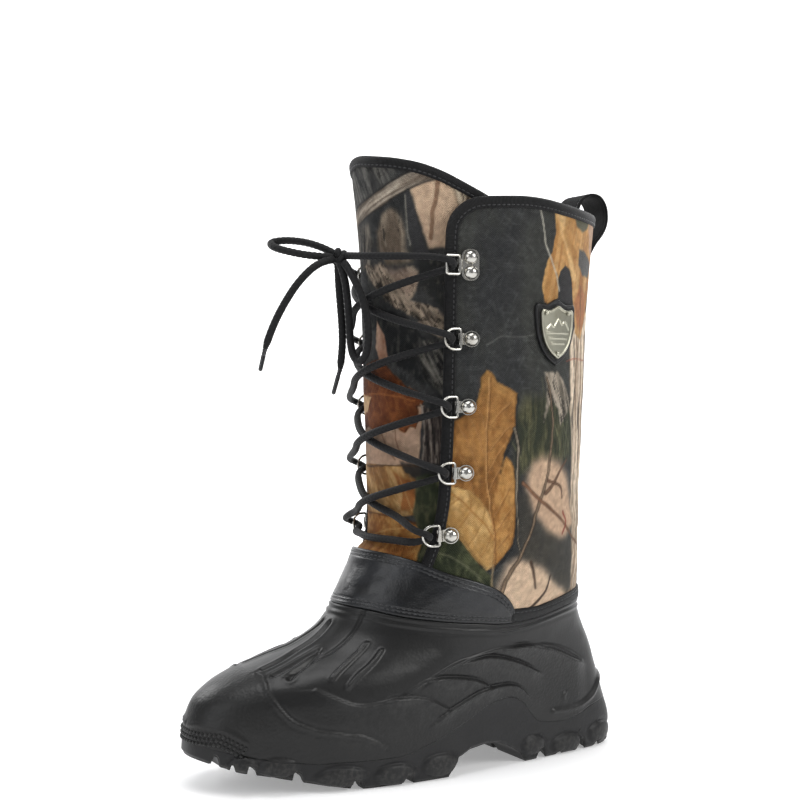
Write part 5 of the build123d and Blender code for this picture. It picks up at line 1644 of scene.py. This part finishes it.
# closing piece behind the overlay, below the tongue
B_POLY = [(-60, 96), (-60, 134.0), (-35, 133.4), (-19.6, 129.5), (-16.8, 125.0), (-20, 119), (-22.5, 113), (-25.5, 96)]
back_ob = sym_patch("vamp_closing_pad", 40.0, 97.0, 135.0,
                    lambda y, z, s: inside(y, z, [(-70, 96), (-70, 134), (-35, 133.6), (-14, 129.5), (-16, 120), (-21, 96)]) & (z > f_seam(np.clip(y, -70, 135)) - 1),
                    lambda Z: np.interp(Z, [97, 125, 131, 135], [0.8, 2.9, 3.2, 4.4]), lambda Z: np.full(Z.shape, 7.9), M_BACK, 1.6)
finish_piece(back_ob, "boot", "black_leather", "vamp_backing")


# ====================================================== foot lining, insole
def foot_lining():
    th = sym_thetas(45.0, 3.0)
    zs = on_line(th, f_seam, z0=98.0) - 1.2
    Pb = Q(45.0, th, 12.0)
    zb = f_bed(Pb[:, 1]) + 0.4
    t = np.linspace(0, 1, 40)
    ZZ = zb[:, None] + (zs - zb)[:, None] * t
    k = (1 - t)[None] * 0.5
    out = Q(ZZ, th[:, None], WALL(ZZ) + 0.25)
    inn = Q(ZZ, th[:, None], WALL(ZZ) + 2.3)
    for G in (out, inn):
        G[..., 2] += (RISE(ZZ) * (1 - t)[None] * 0.5)
    inn += NRM(ZZ, th[:, None]) * ((fbm(ARC(th)[:, None] / 5, ZZ / 5, 17, 3) - 0.5) * 0.8)[..., None]
    V, F = shut(out.reshape(-1, 3), inn.reshape(-1, 3), grid_faces(len(th), 40, cu=True))
    ob = make("foot_lining_sock", V, F, M_FOOTLIN)
    finish_piece(ob, "boot", "fleece", "foot_lining")


foot_lining()


def insole():
    lo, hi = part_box("insole")
    lo, hi = np.array(lo) * 1000 - SHIFT, np.array(hi) * 1000 - SHIFT
    th = sym_thetas(45.0, 2.0)
    ring = Q(52.0, th, 13.2)
    ring[:, 1] = np.clip(ring[:, 1], lo[1] + 0.8, hi[1] - 0.8)
    ring[:, 0] = np.clip(ring[:, 0], lo[0] + 0.5, hi[0] - 0.5)
    grids = []
    for lift, bulge in ((0.4, 1),):
        pass
    prof = [(0.8, 0.35), (0.0, 1.1), (0.0, 4.0), (0.7, 5.0), (2.0, 5.3)]
    cen = np.array([[0.0, 0.0]])
    rows = []
    nrm = np.gradient(np.vstack([ring[-1:], ring, ring[:1]])[:, :2], axis=0)[1:-1]
    nrm = np.stack([nrm[:, 1], -nrm[:, 0]], 1)
    nrm /= np.linalg.norm(nrm, axis=1, keepdims=True)
    sg = np.sign((nrm * (ring[:, :2] - np.array([0, 0]))).sum(1, keepdims=True))
    for a, h in prof:
        r = ring.copy()
        r[:, :2] = ring[:, :2] - nrm * sg * a
        r[:, 2] = f_bed(r[:, 1]) + h
        rows.append(r)
    side_g = np.stack(rows, 1)
    dimple = lambda G: 5.3 + 0.35 * np.sin(G[..., 0] * 2 * PI / 7) * np.sin(G[..., 1] * 2 * PI / 7)
    top = cap_between(rows[-1], 60, lambda G: f_bed(G[..., 1]) + dimple(G))
    bot = cap_between(rows[0], 20, lambda G: f_bed(G[..., 1]) + 0.35)
    V, F, _ = join_grids([(side_g, True, False, 0), (top, False, False, 0), (bot, False, False, 0)])
    ob = make("felt_insole_pad", V, F, M_FELT, orient=False)
    weld(ob)
    finish_piece(ob, "insole", "insole_felt", "insole")


insole()


# ================================================================ pull loop
def pull_loop():
    bi = 6.9
    mid = [(float(Q(300, PI, bi + 3.4)[1]), 300), (float(Q(320, PI, bi + 3.4)[1]), 320), (118.0, 342.0), (119.4, 353.0), (123.4, 360.4),
           (130.4, 363.6), (137.4, 362.2), (141.6, 356.6), (142.7, 350.0), (141.9, 343.8), (138.6, 337.6), (133.2, 331.2),
           (float(Q(322, PI, -1.7)[1]), 322), (float(Q(312, PI, -1.3)[1]), 312)]
    c = resample(catmull(mid, 10), 0.9)
    P = np.stack([0 * c[:, 0], c[:, 0], c[:, 1]], 1)
    t = np.gradient(P, axis=0)
    n = np.stack([0 * t[:, 0], -t[:, 2], t[:, 1]], 1)
    n /= np.linalg.norm(n, axis=1, keepdims=True)
    w = 12.5
    a = np.linspace(-w + 0.6, w - 0.6, 26)
    crown = lambda x: 0.25 * np.exp(-((np.abs(x) - (w - 2.2)) / 0.7) ** 2)
    up = [(x, 0.85 - 0.9 * crown(x)) for x in a]
    dn = [(x, -0.85 + 0.9 * crown(x)) for x in a[::-1]]
    prof = [(-w, 0.0), (-w + 0.15, 0.55)] + up + [(w - 0.15, 0.55), (w, 0.0), (w - 0.15, -0.55)] + dn + [(-w + 0.15, -0.55)]
    V, F, uv = sweep(P, n, prof)
    # ripple for the strap: added only if the point count matches the bare grid, which the capped sweep's does not, so
    # the strap stays smooth
    rip = (fbm(V[:, 0] / 9, uv[:, 0] / 7, 61, 3) - 0.5) * 0.35
    V = V + np.repeat(n, len(prof), 0)[:len(V)] * rip[:len(P) * len(prof), None] if len(V) == len(P) * len(prof) else V
    ob = make("heel_pull_loop", V, F, M_STRAP, uv=uv)
    finish_piece(ob, "boot", "black_binding", "pull_loop")
    for sx, tag in ((-1, "a"), (1, "b")):
        Pp = P + np.array([sx * (w - 2.2), 0, 0])
        stitches("pull_loop_stitch_out_" + tag, Pp + n * 0.7, n, "boot", M_THREAD, step=3.2, slot="black_binding")


pull_loop()


# =================================================================== badge
BY, BZ = 68.2, 270.0
SHIELD = [(-17, 14), (-15.5, 17.5), (-8, 17), (0, 20.6), (8, 17), (15.5, 17.5), (17, 14), (16, 2), (13, -8), (7.5, -15.5),
          (0, -20.6), (-7.5, -15.5), (-13, -8), (-16, 2)]


def shield_outline(k, n=14):
    p = np.array(SHIELD, float) * k
    # sharp at the top points and the foot, smooth between
    out = []
    corners = [1, 3, 5, 10]
    idx = corners + [corners[0] + len(p)]
    for a, b in zip(idx[:-1], idx[1:]):
        seg = np.array([p[i % len(p)] for i in range(a, b + 1)])
        c = catmull(seg, n)
        out.append(c[:-1])
    return np.vstack(out)


def badge_layer(name, k, rings, mat, slot, *nodes, relief=None, nr=26, extra=None):
    """A moulded shield: rings are (scale, height over the cloth) from the back edge to the face."""
    o = resample(np.vstack([shield_outline(k), shield_outline(k)[:1]]), 0.8)[:-1]
    levels = []
    for sc, h in rings:
        levels.append((o * sc, np.full(len(o), h)))
    sc0, h0 = rings[-1]
    for t in np.linspace(1, 0.02, nr)[1:]:
        pts = o * sc0 * t
        levels.append((pts, np.full(len(o), h0) + (relief(pts[:, 0], pts[:, 1]) if relief else 0)))
    G = []
    for pts, h in levels:
        y, z = BY + pts[:, 0], BZ + pts[:, 1]
        th = TH(y, z, 0.0)
        G.append(Q(z, th) + NRM(z, th) * h[:, None])
    G = np.stack(G, 0)
    m = G.shape[1]
    V = G.reshape(-1, 3)
    F = [grid_faces(G.shape[0], m, cv=True)]
    V = np.vstack([V, G[0].mean(0), G[-1].mean(0)])
    j = np.arange(m)
    F.append(np.stack([(j + 1) % m, j, np.full(m, len(V) - 2)], -1))
    b = (G.shape[0] - 1) * m
    F.append(np.stack([j + b, (j + 1) % m + b, np.full(m, len(V) - 1)], -1))
    ob = make(name, V, F, mat)
    if nodes is not None:
        finish_piece(ob, "boot", slot, *nodes)
    return ob


badge_layer("badge_patch", 1.0, [(0.97, -0.3), (1.0, 0.2), (1.0, 1.7), (0.985, 2.25), (0.955, 2.5), (0.92, 2.3), (0.895, 1.9), (0.87, 1.8)], M_PATCH, "badge_rubber", "badge_backing")


def motif(u, v):
    """Generic relief: a ridge line over plain level lines."""
    h = 0 * u
    line = catmull([(-9.5, 1.8), (-6.0, 4.6), (-3.6, 3.4), (0.2, 8.0), (3.0, 4.8), (5.6, 6.4), (9.5, 2.0)], 6)
    d = dist_line(np.stack([u, v], 1), line)
    h += 0.45 * np.exp(-(d / 0.45) ** 2)
    for y, w in ((-0.4, 9.8), (-3.6, 8.2), (-6.8, 5.8)):
        h += 0.40 * np.exp(-((v - y) / 0.4) ** 2) * (np.abs(u) < w)
    return h


badge_layer("badge_plate_face", 0.80, [(0.99, 1.6), (1.0, 2.4), (1.0, 3.3), (0.985, 3.75), (0.95, 3.95), (0.915, 3.8), (0.90, 3.45), (0.88, 3.4)], M_BADGE, "badge_metal", "badge_plate",
            relief=motif, nr=46)


# hardware keeps its drawn shape
for name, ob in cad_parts.items():
    if name.startswith(("d_ring", "top_ring", "ring_clips", "ring_rivets", "top_clips", "top_rivets", "badge_pins")):
        m = M_BADGE if name == "badge_pins" else M_NICKEL
        if len(ob.material_slots) == 0:
            ob.data.materials.append(m)
        for sl in ob.material_slots:
            sl.link = "OBJECT"
            sl.material = m


# =================================================================== laces
LACE_ROUTE = [
    (-3.50, -43.80, 317.50), (16.67, -41.13, 315.80), (36.57, -25.88, 315.00), (59.73, -14.67, 313.63),
    (63.75, -5.51, 310.74), (56.37, -2.22, 307.73), (52.23, -11.32, 304.83), (27.32, -28.43, 297.04),
    (8.82, -36.60, 290.31), (-8.81, -36.36, 283.93), (-27.16, -27.77, 277.21), (-58.61, -15.01, 269.41),
    (-62.63, -5.85, 266.52), (-55.28, -2.57, 263.45), (-51.16, -11.69, 260.55), (-26.27, -25.85, 253.55),
    (-8.26, -32.17, 247.50), (8.24, -32.02, 241.77), (26.14, -25.44, 235.72), (56.73, -16.51, 228.72),
    (61.00, -7.47, 225.82), (53.74, -4.00, 222.75), (49.38, -13.00, 219.85), (26.73, -26.12, 213.07),
    (8.64, -34.02, 207.21), (-8.63, -33.81, 201.67), (-26.63, -25.56, 195.81), (-55.05, -17.52, 189.03),
    (-59.56, -8.60, 186.13), (-52.40, -4.93, 183.05), (-47.80, -13.82, 180.15), (-25.77, -23.50, 173.73),
    (-8.09, -29.43, 168.19), (8.06, -29.18, 162.94), (25.48, -22.80, 157.39), (47.16, -24.62, 150.97),
    (52.55, -16.19, 148.07), (45.75, -11.68, 145.33), (40.08, -19.92, 142.44), (23.35, -23.98, 142.84),
    (7.91, -28.92, 142.84), (-7.91, -28.92, 142.84), (-23.35, -23.98, 142.84), (-40.08, -19.92, 142.44),
    (-45.75, -11.68, 145.33), (-52.55, -16.19, 148.07), (-47.16, -24.62, 150.97), (-26.18, -24.24, 157.39),
    (-8.52, -32.44, 162.94), (8.55, -32.70, 168.19), (26.47, -24.94, 173.73), (47.80, -13.82, 180.15),
    (52.40, -4.93, 183.05), (59.56, -8.60, 186.13), (55.05, -17.52, 189.03), (25.93, -24.12, 195.81),
    (8.17, -30.55, 201.67), (-8.18, -30.75, 207.21), (-26.03, -24.68, 213.07), (-49.38, -13.00, 219.85),
    (-53.74, -4.00, 222.75), (-61.00, -7.47, 225.82), (-56.73, -16.51, 228.72), (-26.85, -26.88, 235.72),
    (-8.70, -35.29, 241.77), (8.71, -35.44, 247.50), (26.97, -27.29, 253.55), (51.16, -11.69, 260.55),
    (55.28, -2.57, 263.45), (62.63, -5.85, 266.52), (58.61, -15.01, 269.41), (26.45, -26.34, 277.21),
    (8.35, -33.09, 283.93), (-8.36, -33.34, 290.31), (-26.62, -27.00, 297.04), (-52.23, -11.32, 304.83),
    (-56.37, -2.22, 307.73), (-63.75, -5.51, 310.74), (-59.73, -14.67, 313.63), (-48.55, -19.94, 314.80),
    (-31.69, -32.28, 315.60), (-12.50, -43.30, 316.00)]
LOOP_L = [(-11, -48.0, 319.0), (-14, -51.2, 321.6), (-22, -59.7, 326.1), (-31, -68.5, 328.2), (-37, -76.0, 327.9),
          (-35.0, -81.5, 326.0), (-27.0, -82.5, 323.0), (-19.0, -79.4, 320.6), (-13, -70.0, 318.0), (-9.5, -59.0, 316.9), (-8.5, -51.0, 316.4)]
LOOP_R = [(-4.5, -47.5, 312.5), (-1.5, -45.5, 303.5), (-1.0, -44.0, 290.0), (-1.0, -42.8, 276.0), (-0.6, -42.4, 263.5), (2.0, -41.5, 254.5),
          (8.0, -40.2, 251.0), (13.8, -38.6, 255.5), (15.6, -38.0, 264.5), (15.5, -38.6, 278.0), (12.5, -40.8, 292.0), (5.5, -44.0, 305.0), (-1.5, -46.0, 313.0)]
END_L = [(-8.0, -50.5, 315.0), (-5.0, -60.5, 313.8), (-8.0, -73.0, 302.3), (-11.5, -82.4, 287.0), (-13.5, -90.0, 271.0), (-14, -93.6, 259.8)]
TIP_L = [(-14, -93.6, 259.8), (-14.0, -97.0, 245.9)]
END_R = [(-9.5, -46.5, 311.5), (-12.5, -44.6, 300.5), (-13.5, -42.8, 287.0), (-13.0, -41.8, 272.5), (-11.5, -42.4, 259.5), (-9.5, -45.0, 247.5)]
TIP_R = [(-9.5, -45.0, 247.5), (-8.0, -50.6, 231.6)]
KNOT = np.array([-8.0, -45.3, 316.5])
LACE_D = 4.2


def nurbs_line(name, pts):
    """Points (m) along the smooth line through a route."""
    cu = bpy.data.curves.new(name + "_line", "CURVE")
    cu.dimensions = "3D"
    sp = cu.splines.new("NURBS")
    sp.points.add(len(pts) - 1)
    for p, q in zip(sp.points, pts):
        p.co = (*row(q), 1.0)
    sp.order_u = 3
    sp.use_endpoint_u = True
    sp.resolution_u = 10
    ob = bpy.data.objects.new(name + "_line", cu)
    me = bpy.data.meshes.new_from_object(ob)
    co = np.array([v.co[:] for v in me.vertices])
    bpy.data.meshes.remove(me)
    bpy.data.objects.remove(ob)
    bpy.data.curves.remove(cu)
    return co


def transport(P, first=(0.0, 0.0, 1.0)):
    T = np.gradient(P, axis=0)
    T /= np.linalg.norm(T, axis=1, keepdims=True)
    n = np.array(first) - T[0] * (T[0] @ np.array(first))
    if np.linalg.norm(n) < 0.1:
        n = np.array([1.0, 0, 0]) - T[0] * T[0][0]
    n /= np.linalg.norm(n)
    N = [n]
    for k in range(1, len(P)):
        n = N[-1] - T[k] * (T[k] @ N[-1])
        N.append(n / np.linalg.norm(n))
    return T, np.array(N)


def braided(name, pts, body="boot", closed=False, dia=LACE_D, step=0.46, nr=20, taper=None, P=None):
    """A round braided lace along a route; returns the piece, its path (m) and length (m)."""
    if P is None:
        path = nurbs_line(name, pts)
        P = (path * 1000) - SHIFT
    else:
        path = (P + SHIFT) / 1000
    P = resample(P, step)
    T, N = transport(P)
    B = np.cross(T, N)
    l = np.arange(len(P)) * step
    a = np.arange(nr) * 2 * PI / nr
    k, pitch = 4, 6.4
    p1 = np.cos(k * a[None] + l[:, None] * 2 * PI / pitch * k / 2)
    p2 = np.cos(k * a[None] - l[:, None] * 2 * PI / pitch * k / 2)
    h = np.maximum(p1, p2)
    # the main lace is a little thicker between the rings than where it runs through them; the other pieces are thicker
    # all along
    swell = 1 + 0.13 * (1 - sstep(36, 43, np.abs(P[:, 0]))) if name == "lace_main" else np.full(len(P), 1.15)
    R = dia / 2 * (0.945 + 0.065 * h) * swell[:, None]
    if taper is not None:
        R = R * taper(l / l[-1])[:, None]
    V = P[:, None] + N[:, None] * (np.cos(a)[None, :, None] * R[..., None]) + B[:, None] * (np.sin(a)[None, :, None] * R[..., None])
    V = V.reshape(-1, 3)
    br = (0.5 + 0.5 * h).ravel()
    m = nr
    F = [grid_faces(len(P), m, cu=closed, cv=True)]
    if not closed:
        V = np.vstack([V, P[0] - T[0] * 0.5, P[-1] + T[-1] * 0.5])
        br = np.concatenate([br, [0.5, 0.5]])
        j = np.arange(m)
        F.append(np.stack([(j + 1) % m, j, np.full(m, len(V) - 2)], -1))
        F.append(np.stack([j + (len(P) - 1) * m, (j + 1) % m + (len(P) - 1) * m, np.full(m, len(V) - 1)], -1))
    ob = make(name, V, F, M_LACE, attrs={"braid": br}, orient=True)
    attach(ob, body)
    return ob, path, float(np.linalg.norm(np.diff(path, axis=0), axis=1).sum())


lace_ob, lace_path, lace_len = braided("lace_main", LACE_ROUTE)
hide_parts("lace")
row(LACE_ROUTE[0])
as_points(lace_path)

ll_ob, ll_path, _ = braided("lace_bow_left", LOOP_L)
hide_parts("lace_loop_left")
row(LOOP_L[0])
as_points(ll_path)
lr_ob, lr_path, _ = braided("lace_bow_right", LOOP_R)
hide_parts("lace_loop_right")
row(LOOP_R[0])
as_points(lr_path)


def aglet(name, a, b, node):
    P = np.array([a, b], float)
    t = np.linspace(0, 1, 40)[:, None]
    P = P[0] * (1 - t) + P[1] * t
    T, N = transport(P)
    B = np.cross(T, N)
    L = np.linalg.norm(P[-1] - P[0])
    x = t[:, 0] * L
    r = 1.5 * (1 - 0.10 * sstep(0, L, x)) - 0.22 * np.exp(-((x - 2.2) / 0.5) ** 2) - 0.22 * np.exp(-((x - 3.9) / 0.5) ** 2)
    r = r * np.sqrt(np.clip((L - x) / 0.8, 0.12, 1)) * np.sqrt(np.clip((x + 0.25) / 0.6, 0.5, 1))
    an = np.arange(18) * 2 * PI / 18
    V = P[:, None] + N[:, None] * (np.cos(an)[None, :, None] * r[:, None, None]) + B[:, None] * (np.sin(an)[None, :, None] * r[:, None, None])
    V = np.vstack([V.reshape(-1, 3), P[0], P[-1]])
    j = np.arange(18)
    F = [grid_faces(len(P), 18, cv=True), np.stack([(j + 1) % 18, j, np.full(18, len(V) - 2)], -1), np.stack([j + 39 * 18, (j + 1) % 18 + 39 * 18, np.full(18, len(V) - 1)], -1)]
    ob = make(name, V, F, M_TIP)
    return finish_piece(ob, "boot", "lace_tip_plastic", node)


tip_l = aglet("lace_aglet_left", TIP_L[0], TIP_L[1], "lace_tip_left")
tip_r = aglet("lace_aglet_right", TIP_R[0], TIP_R[1], "lace_tip_right")
narrow = lambda t: 1 - 0.30 * sstep(0.93, 1.0, t)
el_ob, el_path, _ = braided("lace_tail_left", END_L, taper=narrow)
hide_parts("lace_end_left")
row(END_L[0])
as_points(el_path)
er_ob, er_path, _ = braided("lace_tail_right", END_R, taper=narrow)
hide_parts("lace_end_right")
row(END_R[0])
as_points(er_path)

t = np.linspace(0, 2 * PI, 200, endpoint=False)
rr = 3.0 + 1.5 * np.cos(3 * t)
kp = np.stack([rr * np.cos(2 * t), 1.7 * np.sin(3 * t), rr * np.sin(2 * t)], 1) * [1.0, 1.1, 1.0]
kp = np.vstack([kp, kp[:1]]) + KNOT + [0, -0.6, 0]
knot_ob, _, _ = braided("lace_bow_knot", None, P=kp, dia=3.7)
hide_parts("lace_knot")

# =================================================================== stage
import bmesh
bm = bmesh.new()
# a pale sweep: floor that turns up gently far behind
prof = [(-3.0, 0.0), (1.2, 0.0), (1.7, 0.03), (2.1, 0.15), (2.4, 0.4), (2.6, 0.8), (2.7, 1.4), (2.72, 2.6)]
view = Vector = None
from mathutils import Vector
CAM_AT = Vector((0.823097, -0.446808, 0.240))
CAM_TO = Vector((-0.059853, 0.022662, 0.2265))
fwd = (CAM_TO - CAM_AT)
fwd.z = 0
fwd.normalize()
right = Vector((fwd.y, -fwd.x, 0))
rows_v = []
for d, h in prof:
    rows_v.append([bm.verts.new(fwd * d + right * x + Vector((0, 0, h - 0.0002))) for x in (-3.5, -1.5, 0, 1.5, 3.5)])
for a, b in zip(rows_v[:-1], rows_v[1:]):
    for i in range(4):
        bm.faces.new((a[i], a[i + 1], b[i + 1], b[i]))
me = bpy.data.meshes.new("studio_floor")
bm.to_mesh(me)
bm.free()
for p in me.polygons:
    p.use_smooth = True
floor_ob = bpy.data.objects.new("studio_floor", me)
bpy.context.scene.collection.objects.link(floor_ob)
fm = Nodes("pale_floor", Specular_IOR_Level=0.3)
fm.colour((0.86, 0.86, 0.865, 1.0))
fm.rough(0.55)
fm.bsdf.inputs["Emission Color"].default_value = (1.0, 1.0, 1.0, 1.0)
fm.bsdf.inputs["Emission Strength"].default_value = 0.30
me.materials.append(fm.mat)


def area(name, loc, aim, size, energy, colour=(1, 1, 1), size_y=None):
    li = bpy.data.lights.new(name, "AREA")
    li.shape = "RECTANGLE"
    li.size, li.size_y = size, size_y or size
    li.energy, li.color = energy, colour
    ob = bpy.data.objects.new(name, li)
    ob.location = loc
    ob.rotation_mode = "QUATERNION"
    ob.rotation_quaternion = (Vector(aim) - Vector(loc)).to_track_quat("-Z", "Y")
    bpy.context.scene.collection.objects.link(ob)
    return ob


up = Vector((0, 0, 1))
boot = Vector((0, 0, 0.18))
area("key_right", boot - fwd * 0.75 + right * 1.25 + up * 0.75, boot, 0.75, 13, (1.0, 0.995, 0.98))
area("fill_left", boot - fwd * 1.0 - right * 1.2 + up * 0.6, boot, 1.0, 6, (0.97, 0.98, 1.0))
area("top_soft", boot + up * 1.5 - fwd * 0.25 - right * 0.2, boot, 1.1, 15)
area("rim_back_right", boot + fwd * 1.0 + right * 0.9 + up * 0.6, boot, 0.7, 6)
area("rim_back_left", boot + fwd * 0.9 - right * 1.0 + up * 0.7, boot, 0.5, 4)
area("backdrop_wash", boot + fwd * 1.15 + up * 0.9, boot + fwd * 2.7 + up * 0.7, 2.2, 40)
w = bpy.data.worlds.new("studio")
w.use_nodes = True
w.node_tree.nodes["Background"].inputs[0].default_value = (0.95, 0.96, 0.98, 1)
w.node_tree.nodes["Background"].inputs[1].default_value = 0.26
bpy.context.scene.world = w
bpy.context.scene.view_settings.view_transform = "Standard"
bpy.context.scene.view_settings.look = "None"

cam = bpy.data.cameras.new("camera")
cam.lens, cam.sensor_width, cam.sensor_fit = 66.75, 36.0, "AUTO"
cam_ob = bpy.data.objects.new("camera", cam)
cam_ob.location = CAM_AT
cam_ob.rotation_mode = "QUATERNION"
cam_ob.rotation_quaternion = (CAM_TO - CAM_AT).to_track_quat("-Z", "Y")
bpy.context.scene.collection.objects.link(cam_ob)
bpy.context.scene.camera = cam_ob
